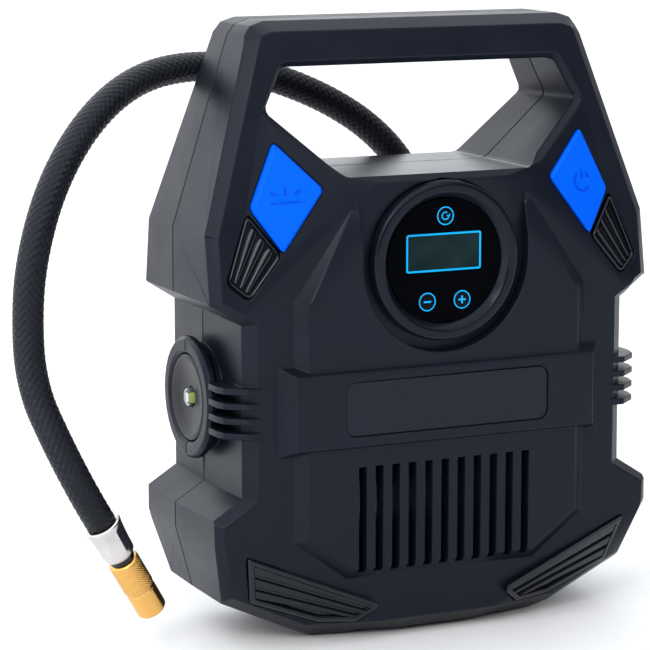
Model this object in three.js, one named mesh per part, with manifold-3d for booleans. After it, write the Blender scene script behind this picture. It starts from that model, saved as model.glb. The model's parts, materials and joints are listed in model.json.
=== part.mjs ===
/*
 * Portable tire inflator: a two-shell plastic case with a carrying handle, a round pressure
 * display, a side lamp, an electric air pump inside and a braided hose with a screw-on chuck.
 *
 * Millimetres. +Z is up, the display faces -Y and the lamp is on the -X side. The case stands on
 * z = 0, is symmetric about x = 0, and its two shells meet on the plane y = 0.
 */
import * as THREE from 'three';
import Module from 'manifold-3d';
import { mergeVertices } from 'three/addons/utils/BufferGeometryUtils.js';

const wasm = await Module();
wasm.setup();

/* ------------------------------------------------------------------ driving dimensions */

const GAP = 0.3;
const WALL = 2.6;
const PARTING = GAP / 2;
/* Inner face of the rear wall, where the posts and ribs stand. */
const REAR_WALL = 32.5;
/* The steep side walls lean in by this much for each millimetre from the parting plane. */
const DRAFT = 0.026;
const STEEP = 0.9;
/* Farther out than any part of the case. */
const FAR = 90;

/* Right half of the front outline, [x, z], from the top centre down to the foot. */
const HEIGHT = 230.5;
const TOP_CORNER = [[61, HEIGHT], [66.4, 228.8], [69.5, 224.6]];
const SHOULDER_TOP = [91.5, 155];
const SHOULDER_TIP = [91.5, 130.8];
const WAIST_TOP = [79.9, 123.4];
const WAIST_BOTTOM = [79.9, 58];
const FLARE_TIP = [91.5, 50.8];
const FLARE_LOW = [91.5, 41.6];
const LOW_CORNER = [85, 17.6];
const FOOT_OUT = [47, 0];
const FOOT_IN = 34.7;
const ARCH_X = 30.7;
const ARCH_Z = 2;

/* A sloping surface is y = a + b|x| + cz. */
const FACE = { a: -39.3, b: 0, c: 0 };
const HANDLE_FACE = { a: -60.7, b: 0, c: 0.18 };
const BROW = { a: -84.95, b: 0.2095, c: 0.2316 };
const CHIN = { a: -41.77, b: 0.2285, c: -0.441 };
const BACK = { a: 33.7, b: 0, c: 0 };
const BACK_HANDLE = { a: 55, b: 0, c: -0.1625 };
const BACK_CHIN = { a: 21.8, b: 0, c: 0.315 };
const BROW_TOP = 198.2;

/* Handle opening, [x, z] of its right corners. */
const OPENING = [[56.3, 213.9], [64.4, 198.3], [38, 174.4]];
const OPENING_BEVEL = 2.3;
const OPENING_CORNER = 2;

const DISPLAY = { z: 142.4, ring: 29.9, lip: 26.2, glass: 23.2, trench: 34, seat: -38, hole: 22 };
const FLAT_TOP = 171;
/* How far a raised piece of the case is rooted in the skin under it. */
const EMBED = 1.5;
const RING_FRONT = -43.7;
const GLASS_FRONT = -41;
const GLASS_BACK = -39.4;
const LCD = { width: 32, height: 14.9, z: 145.4 };
const DISPLAY_BUTTONS = [
  { name: 'unit_button', x: 0, z: 159.0, radius: 3.6 },
  { name: 'minus_button', x: -7.2, z: 127.3, radius: 3.8 },
  { name: 'plus_button', x: 7.2, z: 127.3, radius: 3.8 },
];

const PANEL = { half: 60.3, top: 130.2, bottom: 40.4, raise: 4, bevel: 4.6 };
const PANEL_FRONT = FACE.a - PANEL.raise;
const HORN = [37.3, 162.8];
const PANEL_TOE = [39.1, 24.8];
const BAND = { half: 66, low: 73.2, high: 106.6, front: -45.8, bevel: 3 };
const PLATE = { half: 42, low: 79.8, high: 100.4, corner: 4, depth: 1.5 };
const VENTS = { count: 11, pitch: 6.8, width: 3, low: 27.2, high: 67.6, back: -20 };
const REAR_SLOTS = { count: 7, pitch: 6, width: 2.8, left: -48, right: -14, low: 30, front: 20 };

/* Facet pieces, [x, z] on the right side, clockwise from the front. */
const KITE = [[63.4, 187.6], [74, 164.3], [63.4, 148.2], [46.7, 170.5]];
const KITE_RAISE = 1.7;
const KITE_SINK = 2.2;
const CORNER = 1.7;
const GRILLE_CORNER = 1.2;
const BUTTON_X = 62;
const SWITCH_BOARD = { front: -26.1, back: -24.6, half: 11, low: 155, high: 172 };
const SWITCH_BOSSES = [[52.5, 157], [72, 156]];
const UPPER_INSERT = [[75.3, 162.6], [84.6, 138.2], [77.2, 132], [64.3, 147.6]];
const LOWER_GRILLE = [[79.2, 37.4], [75.3, 18.2], [48.9, 8.3], [34, 7.4], [27.2, 12.7], [27.2, 15.2]];

const LAMP = { z: 90.5, face: 87, rim: 23, neck: 20.4, dish: 16.6, lens: 3.6, led: 1.5 };
const FINS = { count: 4, pitch: 5.5, thick: 2.4 };
const BOSS_BORE = { near: 70, far: 90 };

const MOTOR = { z: 46, radius: 18, left: -44, right: 6 };
const CRADLE = { radius: 21.6, ribs: [[-37, -33], [-7, -3]], ring: 21.3, ringWidth: 8 };
const PINION = { teeth: 8, tip: 4.3, root: 3.1 };
const GEAR = { teeth: 40, tip: 21.5, root: 20, z: 72.2 };
const GEAR_X = 12;
const GEAR_WIDTH = 7;
const CRANK_RADIUS = 7;
const PUMP_X = 29;
const BORE = 10.4;
const PISTON_Z = 133.6;
const CYLINDER = { low: 103.5, high: 139, lid: 146, outlet: 143 };
const FRAME = { left: 9, right: 11.2, back: 24, shelf: 100, posts: [96, 112] };

const HOSE_RADIUS = 5.7;
const HOSE_EXIT = [32, 39.4, 118];
const HOSE_ROUTE = [
  [32, 39.4, 118], [32, 39.4, 130], [31.2, 39.2, 142], [28.3, 38.4, 153.8], [22.8, 37, 165],
  [14.4, 35.4, 175.6], [2.5, 34, 186], [-12.5, 33, 195.2], [-28.5, 32.3, 202.4], [-44.5, 31.4, 207.6],
  [-61, 29.4, 210.6], [-77.5, 25.4, 211], [-93.5, 19, 208.8], [-108, 11.2, 203.6], [-121, 3.4, 195.4],
  [-132.4, -4, 184.6], [-141.8, -10.6, 171.8], [-148.8, -15.8, 157.2], [-153, -18.6, 141.6],
  [-154, -18.6, 125.6], [-153.9, -20.3, 111.2], [-152, -23, 99], [-148.4, -25.9, 88.4],
  [-144.2, -28, 78.2], [-139.4, -28.7, 68.2], [-135, -28.3, 60.1], [-130.9, -27, 53.3],
];
const CORD_STEPS = 30;
const FERRULE_LENGTH = 15.3;
const CHUCK_LENGTH = 25.4;
const KNURL_LENGTH = 13.2;
const CHUCK_RADIUS = 6;
const CHUCK_BORE = { radius: 3.8, depth: 12 };
const GLAND = { bore: 5.1, mouth: 6.6, tail: 36, collar: 12, block: 15, rear: 45.8, air: 30 };
const POWER_INLET = [-36, 29, 100];

const SCREWS = [[-52, 222.2], [52, 222.2], [-82, 143], [82, 143], [-77, 33], [77, 33]];
const SCREW_SEAT = 16;
const SCREW_PILOT = 1.9;
const PILLAR = { front: 4.5, rear: 5.6, head: 4.2 };

/* ------------------------------------------------------------------ materials */

const finish = (color, roughness, metalness = 0) =>
  new THREE.MeshStandardMaterial({ color, roughness, metalness });

const MATERIAL = {
  case: finish(0x1d1f24, 0.55),
  gloss: finish(0x08090b, 0.15),
  glass: finish(0x050709, 0.05),
  screen: finish(0x16423f, 0.2),
  blue: finish(0x0a5fe0, 0.35),
  plate: finish(0x191b20, 0.4),
  board: finish(0x14502c, 0.6),
  key: finish(0x0c1a22, 0.25),
  switch: finish(0x2a2c30, 0.5),
  clear: finish(0xdfe6ea, 0.05),
  led: finish(0xd8e04a, 0.3),
  steel: finish(0x9a9da1, 0.35, 1),
  zinc: finish(0xb9bcc0, 0.3, 1),
  alloy: finish(0x8d9094, 0.5, 1),
  brass: finish(0xb8893a, 0.3, 1),
  rubber: finish(0x111214, 0.85),
  nylon: finish(0xe4e0d2, 0.5),
  seal: finish(0x2a2522, 0.8),
  braid: finish(0x0d0e10, 0.6),
};

/* ------------------------------------------------------------------ solids */

/* A copy of a geometry with shared vertices merged and empty triangles dropped. */
function closed(geometry) {
  const bare = geometry.clone();
  bare.deleteAttribute('normal');
  bare.deleteAttribute('uv');
  const merged = mergeVertices(bare, 1e-4);
  const corners = merged.index.array;
  const kept = [];
  for (let i = 0; i < corners.length; i += 3) {
    const [p, q, r] = [corners[i], corners[i + 1], corners[i + 2]];
    if (p !== q && q !== r && r !== p) kept.push(p, q, r);
  }
  merged.setIndex(kept);
  merged.clearGroups();
  return merged;
}

function solid(geometry) {
  const clean = closed(geometry);
  const vertProperties = new Float32Array(clean.attributes.position.array);
  const triVerts = new Uint32Array(clean.index.array);
  return new wasm.Manifold(new wasm.Mesh({ numProp: 3, vertProperties, triVerts }));
}

function surface(body) {
  const mesh = body.getMesh();
  const geometry = new THREE.BufferGeometry();
  geometry.setAttribute('position', new THREE.BufferAttribute(mesh.vertProperties, 3));
  geometry.setIndex(new THREE.BufferAttribute(mesh.triVerts, 1));
  return geometry;
}

const joined = (bodies) => bodies.reduce((whole, body) => whole.add(body));
const cut = (body, tools) => tools.reduce((left, tool) => left.subtract(tool), body);

function boxBetween(x0, x1, y0, y1, z0, z1) {
  const geometry = new THREE.BoxGeometry(x1 - x0, y1 - y0, z1 - z0);
  geometry.translate((x0 + x1) / 2, (y0 + y1) / 2, (z0 + z1) / 2);
  return geometry;
}

/* A cylinder along Y from y0 to y1. */
function rodY(radius, x, z, y0, y1, sides = 16) {
  const geometry = new THREE.CylinderGeometry(radius, radius, y1 - y0, sides);
  geometry.translate(x, (y0 + y1) / 2, z);
  return geometry;
}

/* A cylinder along X from x0 to x1. */
function rodX(radius, y, z, x0, x1, sides = 16) {
  const geometry = new THREE.CylinderGeometry(radius, radius, x1 - x0, sides);
  geometry.rotateZ(-Math.PI / 2);
  geometry.translate((x0 + x1) / 2, y, z);
  return geometry;
}

/* A cylinder along Z from z0 to z1. */
function rodZ(radius, x, y, z0, z1, sides = 24) {
  const geometry = new THREE.CylinderGeometry(radius, radius, z1 - z0, sides);
  geometry.rotateX(Math.PI / 2);
  geometry.translate(x, y, (z0 + z1) / 2);
  return geometry;
}

/* A turned piece from [radius, height] points, its axis along the given direction from a base. */
function turned(profile, base, direction, sides = 24) {
  const points = profile.map(([radius, height]) => new THREE.Vector2(radius, height));
  const geometry = new THREE.LatheGeometry(points, sides);
  const up = new THREE.Vector3(0, 1, 0);
  const axis = new THREE.Vector3(...direction).normalize();
  geometry.applyQuaternion(new THREE.Quaternion().setFromUnitVectors(up, axis));
  geometry.translate(...base);
  return geometry;
}

/* A prism of an [x, z] outline between two depths along Y. */
function prismY(outline, y0, y1) {
  const shape = new THREE.Shape(outline.map(([x, z]) => new THREE.Vector2(x, z)));
  const geometry = new THREE.ExtrudeGeometry(shape, { depth: y1 - y0, bevelEnabled: false });
  geometry.rotateX(Math.PI / 2);
  geometry.translate(0, y1, 0);
  return geometry;
}

/* A prism of an [x, y] outline between two heights. */
function prismZ(outline, z0, z1) {
  const shape = new THREE.Shape(outline.map(([x, y]) => new THREE.Vector2(x, y)));
  const geometry = new THREE.ExtrudeGeometry(shape, { depth: z1 - z0, bevelEnabled: false });
  geometry.translate(0, 0, z0);
  return geometry;
}

/* A prism of a [y, z] outline between two places along X. */
function prismX(outline, x0, x1) {
  const shape = new THREE.Shape(outline.map(([y, z]) => new THREE.Vector2(-z, y)));
  const geometry = new THREE.ExtrudeGeometry(shape, { depth: x1 - x0, bevelEnabled: false });
  geometry.rotateY(Math.PI / 2);
  geometry.translate(x0, 0, 0);
  return geometry;
}

/* ------------------------------------------------------------------ convex solids from planes */

/* A plane keeps the points where normal . point <= offset. */
function plane(x, y, z, offset) {
  const normal = new THREE.Vector3(x, y, z);
  const length = normal.length();
  return { normal: normal.divideScalar(length), offset: offset / length };
}

/* Keeps what is behind y = a + bx + cz, as a front skin. */
const behind = ({ a, b, c }) => plane(b, -1, c, -a);
/* Keeps what is in front of y = a + bx + cz, as a back skin. */
const ahead = ({ a, b, c }) => plane(-b, 1, -c, a);
/* Keeps the inner side of an outline edge { x, z, w }, where x and z are its outward normal. */
const inside = ({ x, z, w }) => plane(x, 0, z, w);

/* The outline edge from p to q, walked clockwise as seen from the front. */
function edge(p, q, drop = 4, inset = drop) {
  const [dx, dz] = [q[0] - p[0], q[1] - p[1]];
  const length = Math.hypot(dx, dz);
  const [x, z] = [-dz / length, dx / length];
  return { x, z, w: x * p[0] + z * p[1], drop, inset };
}

const mirrored = (side) => ({ ...side, x: -side.x });
const bothSides = (sides) => sides.flatMap((side) => (side.x === 0 ? [side] : [side, mirrored(side)]));
const leftAndRight = ({ a, b, c }) => (b === 0 ? [{ a, b, c }] : [{ a, b, c }, { a, b: -b, c }]);

/* The chamfer that runs along an edge of a skin; it is `drop` deep on the wall and `inset` wide. */
function chamfer(skin, side, outward) {
  const slope = (outward * side.drop) / side.inset;
  const a = skin.a + outward * side.drop - side.w * slope;
  return { a, b: skin.b + side.x * slope, c: skin.c + side.z * slope };
}

/* What is left of a polygon on the kept side of a plane. */
function clipped(ring, { normal, offset }) {
  const result = [];
  ring.forEach((here, i) => {
    const next = ring[(i + 1) % ring.length];
    const [h, n] = [normal.dot(here) - offset, normal.dot(next) - offset];
    if (h <= 0) result.push(here);
    if (h * n < 0) result.push(here.clone().lerp(next, h / (h - n)));
  });
  return result;
}

/* The convex body that all the planes keep. */
function convex(planes) {
  const reach = 600;
  const positions = [];
  for (const face of planes) {
    const helper = Math.abs(face.normal.x) < 0.8 ? new THREE.Vector3(1, 0, 0) : new THREE.Vector3(0, 1, 0);
    const u = helper.cross(face.normal).normalize();
    const v = face.normal.clone().cross(u);
    const middle = face.normal.clone().multiplyScalar(face.offset);
    let ring = [[-1, -1], [1, -1], [1, 1], [-1, 1]].map(([s, t]) =>
      middle.clone().addScaledVector(u, s * reach).addScaledVector(v, t * reach));
    for (const other of planes) {
      if (other !== face) ring = clipped(ring, other);
    }
    for (let i = 1; i < ring.length - 1; i += 1) {
      positions.push(...ring[0].toArray(), ...ring[i].toArray(), ...ring[i + 1].toArray());
    }
  }
  const geometry = new THREE.BufferGeometry();
  geometry.setAttribute('position', new THREE.Float32BufferAttribute(positions, 3));
  return geometry;
}

/* A convex outline of [x, z] points, clockwise from the front, as edges. */
const edgesOf = (outline, drop, inset) =>
  outline.map((p, i) => edge(p, outline[(i + 1) % outline.length], drop, inset));

const grown = (sides, by) => sides.map((side) => ({ ...side, w: side.w + by }));
const lifted = (skin, by) => ({ ...skin, a: skin.a + by });

/* The same outline on the left side, kept clockwise. */
const toLeft = (outline) => outline.map(([x, z]) => [-x, z]).reverse();
const sided = (outline, side) => (side < 0 ? toLeft(outline) : outline);

/* The point a share of the way from p to q. */
const between = (p, q, share) => [p[0] + (q[0] - p[0]) * share, p[1] + (q[1] - p[1]) * share];

/* The same convex outline with each corner cut back to an arc of three points. */
function softened(outline, reach) {
  return outline.flatMap((here, i) => {
    const before = outline[(i + outline.length - 1) % outline.length];
    const after = outline[(i + 1) % outline.length];
    const [start, end] = [before, after].map((other) =>
      between(here, other, reach / Math.hypot(other[0] - here[0], other[1] - here[1])));
    return [start, between(between(start, here, 0.5), between(here, end, 0.5), 0.5), end];
  });
}

/* One skin of a facet for the side of the case that it is on. */
const onSide = (skin, side) => ({ ...skin, b: skin.b * side });

/* A plate that follows a facet: `raise` proud of it, `sink` below it, with a bevelled front. */
function facetPlate(outline, skin, raise, sink, bevel = 0) {
  const sides = edgesOf(outline, bevel || 1);
  const front = lifted(skin, -raise);
  const planes = [...sides.map(inside), behind(front), ahead(lifted(skin, sink))];
  if (bevel > 0) planes.push(...sides.map((side) => behind(chamfer(front, side, 1))));
  return convex(planes);
}

/* ------------------------------------------------------------------ the case */

/* The wall on an outline edge: one plane, or two that lean in from the parting plane. */
const wallsOn = (side) => (Math.abs(side.x) < STEEP
  ? [inside(side)]
  : [-DRAFT, DRAFT].map((lean) => plane(side.x, lean, side.z, side.w)));

/* The convex blocks whose union is the case; `inset` moves every wall inwards. */
function caseBlocks(inset) {
  const corner = [edge(TOP_CORNER[0], TOP_CORNER[1], 5, 4), edge(TOP_CORNER[1], TOP_CORNER[2], 5, 4)];
  const bar = edge(TOP_CORNER[2], SHOULDER_TOP, 4, 4.6);
  const shoulder = edge(SHOULDER_TOP, SHOULDER_TIP, 4.2, 4.6);
  const notch = edge(SHOULDER_TIP, WAIST_TOP, 4, 3);
  const top = { x: 0, z: 1, w: HEIGHT, drop: 5.6, inset: 3.8 };
  const waist = edge(WAIST_TOP, WAIST_BOTTOM, 5.4, 5.7);
  const flare = edge(WAIST_BOTTOM, FLARE_TIP, 4, 3);
  const hip = edge(FLARE_TIP, FLARE_LOW, 3.6, 3.6);
  const thigh = edge(FLARE_LOW, LOW_CORNER, 3.8, 3.8);
  const skirt = edge(LOW_CORNER, FOOT_OUT, 4, 4);
  const floor = { x: 0, z: -1, w: 0, drop: 7, inset: 7 };
  const upper = [top, ...corner, bar, shoulder, notch];
  const blocks = [
    { sides: upper, skins: [FACE, HANDLE_FACE] },
    { sides: upper, skins: [FACE, BROW], ceiling: BROW_TOP },
    { sides: [waist], skins: [FACE], ceiling: WAIST_TOP[1], base: WAIST_BOTTOM[1] - 0.4 },
    { sides: [flare, hip, thigh, skirt, floor], skins: [FACE, CHIN] },
  ];
  return joined(blocks.map(({ sides, skins, ceiling, base }) => {
    const all = bothSides(sides);
    const fronts = skins.flatMap(leftAndRight);
    const backs = [BACK, BACK_HANDLE, BACK_CHIN];
    const planes = [
      ...all.flatMap(wallsOn),
      ...fronts.map(behind),
      ...backs.map(ahead),
      ...all.flatMap((side) => fronts.map((skin) => behind(chamfer(skin, side, 1)))),
      ...all.flatMap((side) => backs.map((skin) => ahead(chamfer(skin, { ...side, drop: 4, inset: 4 }, -1)))),
    ];
    const walls = planes.map(({ normal, offset }) => ({ normal, offset: offset - inset }));
    if (ceiling) walls.push(plane(0, 0, 1, ceiling));
    if (base) walls.push(plane(0, 0, -1, -base));
    return solid(convex(walls));
  }));
}

const openingOutline = () => softened([...OPENING, ...toLeft(OPENING)], OPENING_CORNER);

/* The hole under the handle, `by` larger all round. */
function openingTool(by) {
  return solid(convex([
    ...grown(edgesOf(openingOutline()), by).map(inside),
    plane(0, -1, 0, FAR),
    plane(0, 1, 0, FAR),
  ]));
}

/* The bevel around the hole, on the front skins or on the back. */
function openingBevel(outward) {
  const sides = grown(edgesOf(openingOutline(), OPENING_BEVEL), OPENING_BEVEL);
  const skinOf = ({ x, z }) => {
    if (outward < 0) return BACK_HANDLE;
    if (z < -0.99) return FACE;
    return z < 0 ? onSide(BROW, Math.sign(x)) : HANDLE_FACE;
  };
  const planes = sides.map((side) => {
    const skin = skinOf(side);
    const [sx, sz] = [side.x + outward * -skin.b, side.z + outward * -skin.c];
    return plane(sx, outward, sz, side.w + outward * skin.a);
  });
  return solid(convex([...planes, plane(0, -outward, 0, FAR), plane(0, outward, 0, 0)]));
}

/* Raised panel on the front, its bevelled edge standing on the face. */
function panel() {
  const right = [HORN, [PANEL.half, PANEL.top], [PANEL.half, PANEL.bottom], PANEL_TOE];
  const sides = edgesOf([...right, ...toLeft(right)], PANEL.raise, PANEL.bevel);
  const front = { a: PANEL_FRONT, b: 0, c: 0 };
  return solid(convex([
    ...sides.map(inside),
    behind(front),
    ...leftAndRight(BROW).map(behind),
    ...sides.map((side) => behind(chamfer(front, side, 1))),
    plane(0, 1, 0, FACE.a + EMBED),
  ]));
}

/* Broad band across the waist of the panel. */
function band() {
  const { half, low, high, bevel } = BAND;
  const outline = [[half, high], [half, low], [-half, low], [-half, high]];
  const rise = FACE.a - BAND.front;
  const front = { a: BAND.front, b: 0, c: 0 };
  const sides = edgesOf(outline, rise, bevel);
  const tall = sides.filter((side) => side.x !== 0).map((side) => ({ ...side, inset: bevel + 1.5 }));
  return solid(convex([
    ...sides.map(inside),
    behind(front),
    ...sides.filter((side) => side.x === 0).map((side) => behind(chamfer(front, side, 1))),
    ...tall.map((side) => behind(chamfer(front, side, 1))),
    plane(0, 1, 0, FACE.a + EMBED),
  ]));
}

/* Rounded rectangle for the name plate and its recess, `by` smaller all round. */
function plateOutline(by) {
  const [x, low, high, r] = [PLATE.half - by, PLATE.low + by, PLATE.high - by, PLATE.corner - by];
  const shape = new THREE.Shape();
  shape.absarc(x - r, high - r, r, 0, Math.PI / 2);
  shape.absarc(-x + r, high - r, r, Math.PI / 2, Math.PI);
  shape.absarc(-x + r, low + r, r, Math.PI, 1.5 * Math.PI);
  shape.absarc(x - r, low + r, r, 1.5 * Math.PI, 2 * Math.PI);
  return shape.getPoints(4).map((point) => [point.x, point.y]);
}

/* Horizontal fin that wraps the front corner of the waist and reaches the lamp neck. */
function fins(side) {
  const outline = [
    [70, FACE.a + 0.7], [75.4, FACE.a - 0.9], [78.5, FACE.a - 0.9], [85.6, -34.2], [87, -29.8],
    [87, -22.5], [84, -19.5], [78, -19.5], [78, -35],
  ].map(([x, y]) => [side * x, y]);
  const rows = Array.from({ length: FINS.count }, (_, i) => LAMP.z + (i - (FINS.count - 1) / 2) * FINS.pitch);
  return joined(rows.map((z) => solid(prismZ(outline, z - FINS.thick / 2, z + FINS.thick / 2))));
}

/* Round boss on the side of the waist: a neck and a wider rim. */
function sideBoss(side) {
  const [near, middle, far] = [77.6, LAMP.face - 4, LAMP.face];
  const profile = [
    [0, near], [LAMP.neck, near], [LAMP.neck, middle - 1.5], [LAMP.rim - 0.8, middle],
    [LAMP.rim, middle + 0.8], [LAMP.rim, far - 1.4], [LAMP.rim - 1.4, far], [LAMP.dish + 1.2, far],
    [LAMP.dish, far - 1.2], [0, far - 1.2],
  ];
  return solid(turned(profile, [0, 0, LAMP.z], [side, 0, 0], 32));
}

/* Through-hole of a side boss. */
function sideBore(side) {
  const ends = [BOSS_BORE.near * side, BOSS_BORE.far * side].sort((p, q) => p - q);
  return solid(rodX(LAMP.dish, 0, LAMP.z, ends[0], ends[1], 32));
}

/* One half of the case, still solid: side -1 is the front half and 1 the rear half. */
function halfCase(whole, side) {
  const [y0, y1] = side < 0 ? [-FAR, -PARTING] : [PARTING, FAR];
  return whole.intersect(solid(boxBetween(-2 * FAR, 2 * FAR, y0, y1, -FAR, 3 * FAR)));
}

/* The arch between the feet. */
function archTool() {
  const outline = [
    [-FOOT_IN - 1, -1], [-FOOT_IN, 0], [-ARCH_X, ARCH_Z], [ARCH_X, ARCH_Z], [FOOT_IN, 0], [FOOT_IN + 1, -1],
  ];
  return solid(prismY(outline, -FAR, FAR));
}

/* Everything that is cut out of the display area of the front. */
function displayTools() {
  const { z, ring, trench, seat, hole } = DISPLAY;
  const slope = (FACE.a - seat) / (FLAT_TOP - z);
  const ramp = { a: seat - slope * z, b: 0, c: slope };
  const lowerHalf = solid(boxBetween(-FAR, FAR, -FAR, 0, z - 2 * trench, z));
  return [
    solid(rodY(trench, 0, z, -FAR, seat, 48)).intersect(lowerHalf),
    solid(convex([
      plane(1, 0, 0, trench), plane(-1, 0, 0, trench), plane(0, 0, 1, FLAT_TOP), plane(0, 0, -1, -z),
      plane(0, -1, 0, FAR), ahead(ramp),
    ])),
    solid(rodY(ring + GAP, 0, z, -FAR, seat, 48)),
    solid(rodY(hole, 0, z, -FAR, 0, 32)),
  ];
}

function ventTools() {
  const first = -((VENTS.count - 1) / 2) * VENTS.pitch;
  return Array.from({ length: VENTS.count }, (_, i) => {
    const x = first + i * VENTS.pitch;
    const [left, right] = [x - VENTS.width / 2, x + VENTS.width / 2];
    return solid(boxBetween(left, right, -FAR, VENTS.back, VENTS.low, VENTS.high));
  });
}

/* Recesses for the pieces that lie on the facets, and the holes behind the two blue buttons. */
function facetTools() {
  return [-1, 1].flatMap((side) => {
    const brow = onSide(BROW, side);
    const chin = onSide(CHIN, side);
    const room = (outline, skin, sink, corner) => {
      const sides = grown(edgesOf(softened(sided(outline, side), corner)), GAP);
      return solid(convex([...sides.map(inside), plane(0, -1, 0, FAR), ahead(lifted(skin, sink))]));
    };
    return [
      room(KITE, brow, 12, CORNER), room(UPPER_INSERT, brow, 1.5, CORNER),
      room(LOWER_GRILLE, chin, 1.5, GRILLE_CORNER),
    ];
  });
}

/* Screw pillars of the front shell, from the skin back to the parting plane. */
const frontPillars = () => SCREWS.map(([x, z]) => solid(rodY(PILLAR.front, x, z, -FAR, -PARTING, 12)));
/* Screw pillars of the rear shell. */
const rearPillars = () => SCREWS.map(([x, z]) => solid(rodY(PILLAR.rear, x, z, PARTING, FAR, 12)));

/* Bosses inside the front shell that the two switch boards screw to. */
function switchBosses() {
  return [-1, 1].flatMap((side) => SWITCH_BOSSES.map(([x, z]) =>
    solid(rodY(2.4, side * x, z, -FAR, SWITCH_BOARD.front - GAP, 8))));
}

function frontShell(outer, cavity) {
  const skin = joined([halfCase(outer, -1), panel(), band(), fins(-1), fins(1)]);
  const hollow = cut(skin, [cavity]);
  const posts = joined([...frontPillars(), ...switchBosses()]).intersect(halfCase(outer, -1));
  const plateRoom = prismY(plateOutline(0), -FAR, BAND.front + PLATE.depth);
  const tools = [
    ...displayTools(), ...ventTools(), ...facetTools(), solid(plateRoom),
    ...SCREWS.map(([x, z]) => solid(rodY(SCREW_PILOT, x, z, -14, 1, 10))),
    sideBore(-1), sideBore(1), openingTool(0), openingBevel(1),
  ];
  return surface(cut(joined([hollow, posts]), tools));
}

/* Raised block on the back that holds the hose gland. */
function glandBlock() {
  const [x, , z] = HOSE_EXIT;
  const { block, rear, collar } = GLAND;
  const outline = [
    [x - block, 30], [x - block, 34], [x - block + 5, rear],
    [x + block - 5, rear], [x + block, 34], [x + block, 30],
  ];
  return solid(prismZ(outline, z - 46, z - collar));
}

/* Cradle ribs that carry the motor, standing on the back wall. */
function cradleRibs() {
  const ring = solid(rodX(CRADLE.radius, 0, MOTOR.z, -FAR, FAR, 32));
  return CRADLE.ribs.map(([x0, x1]) =>
    solid(boxBetween(x0, x1, 4, REAR_WALL, 26, 66)).subtract(ring));
}

/* Posts on the back wall that carry the pump frame. */
const framePosts = () => FRAME.posts.map((z) =>
  solid(rodY(3.2, (FRAME.left + FRAME.right) / 2, z, FRAME.back + GAP, REAR_WALL, 12)));

function rearShell(outer, cavity) {
  const [x, y, exit] = HOSE_EXIT;
  const skin = halfCase(outer, 1).subtract(cavity);
  const inner = joined([...rearPillars(), ...cradleRibs(), ...framePosts()]).intersect(halfCase(outer, 1));
  const body = joined([skin, inner, glandBlock()]);
  const { count, pitch, width, left, right, low, front } = REAR_SLOTS;
  const slots = Array.from({ length: count }, (_, i) =>
    solid(boxBetween(left, right, front, FAR, low + i * pitch, low + i * pitch + width)));
  return surface(cut(body, [
    ...slots,
    ...SCREWS.map(([sx, sz]) => solid(rodY(PILLAR.head, sx, sz, SCREW_SEAT, FAR, 16))),
    ...SCREWS.map(([sx, sz]) => solid(rodY(SCREW_PILOT, sx, sz, -1, FAR, 10))),
    sideBore(-1), sideBore(1), openingTool(0), openingBevel(-1),
    solid(rodZ(GLAND.bore, x, y, exit - GLAND.tail - 2, exit, 20)),
    solid(rodZ(GLAND.mouth, x, y, exit - GLAND.collar, exit + 16, 24)),
    solid(rodY(4, x, exit - GLAND.air, 28, y, 12)),
    solid(rodY(6.3, POWER_INLET[0], POWER_INLET[2], 20, FAR, 20)),
  ]));
}

/* ------------------------------------------------------------------ display */

function displayBezel() {
  const { z, ring, lip, glass } = DISPLAY;
  const depth = DISPLAY.seat - GAP - RING_FRONT;
  const profile = [
    [glass + GAP, 0], [ring, 0], [ring, depth - 1.6], [ring - 0.5, depth - 0.5], [ring - 1.6, depth],
    [lip, depth], [glass + GAP, depth - 2.6], [glass + GAP, 0],
  ];
  return turned(profile, [0, DISPLAY.seat - GAP, z], [0, -1, 0], 48);
}

function displayLens() {
  const disc = solid(rodY(DISPLAY.glass, 0, DISPLAY.z, GLASS_FRONT, GLASS_BACK, 48));
  const { width, height, z } = LCD;
  const window = solid(boxBetween(-width / 2, width / 2, -FAR, 0, z - height / 2, z + height / 2));
  const holes = DISPLAY_BUTTONS.map((button) =>
    solid(rodY(button.radius + GAP, button.x, button.z, -FAR, 0, 20)));
  return surface(cut(disc, [window, ...holes]));
}

function lcdModule() {
  const { width, height, z } = LCD;
  const raised = boxBetween(-width / 2 + GAP, width / 2 - GAP, GLASS_FRONT + 0.5, GLASS_BACK + 0.8,
    z - height / 2 + GAP, z + height / 2 - GAP);
  const body = boxBetween(-16.2, 16.2, GLASS_BACK + GAP, -35.6, z - 9, z + 8.4);
  return surface(solid(raised).add(solid(body)));
}

function controlBoard() {
  const outline = [[-27, 117], [27, 117], [27, 160], [20, 167], [-20, 167], [-27, 160]];
  const plate = solid(prismY(outline, -33.6, -32));
  const blocks = [
    boxBetween(-18, -4, -32.2, -28, 120, 130), boxBetween(4, 14, -32.2, -26, 150, 160),
    boxBetween(-12, 12, -32.2, -24, 136, 144),
  ].map(solid);
  const holes = [[-23, 121], [23, 121]].map(([x, z]) => solid(rodY(1.6, x, z, -40, -20, 8)));
  return surface(cut(joined([plate, ...blocks]), holes));
}

/* A domed cap on a stem, its front just proud of the glass. */
function displayButton({ x, z, radius }) {
  const front = GLASS_FRONT - 0.6;
  const profile = [
    [0, 0], [1.4, 0], [1.4, 3.2], [radius, 3.6], [radius, 6.6], [radius - 0.5, 7.1], [0, 7.3],
  ];
  return turned(profile, [x, front + 7.3, z], [0, -1, 0], 20);
}

/* ------------------------------------------------------------------ facet pieces */

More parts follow.
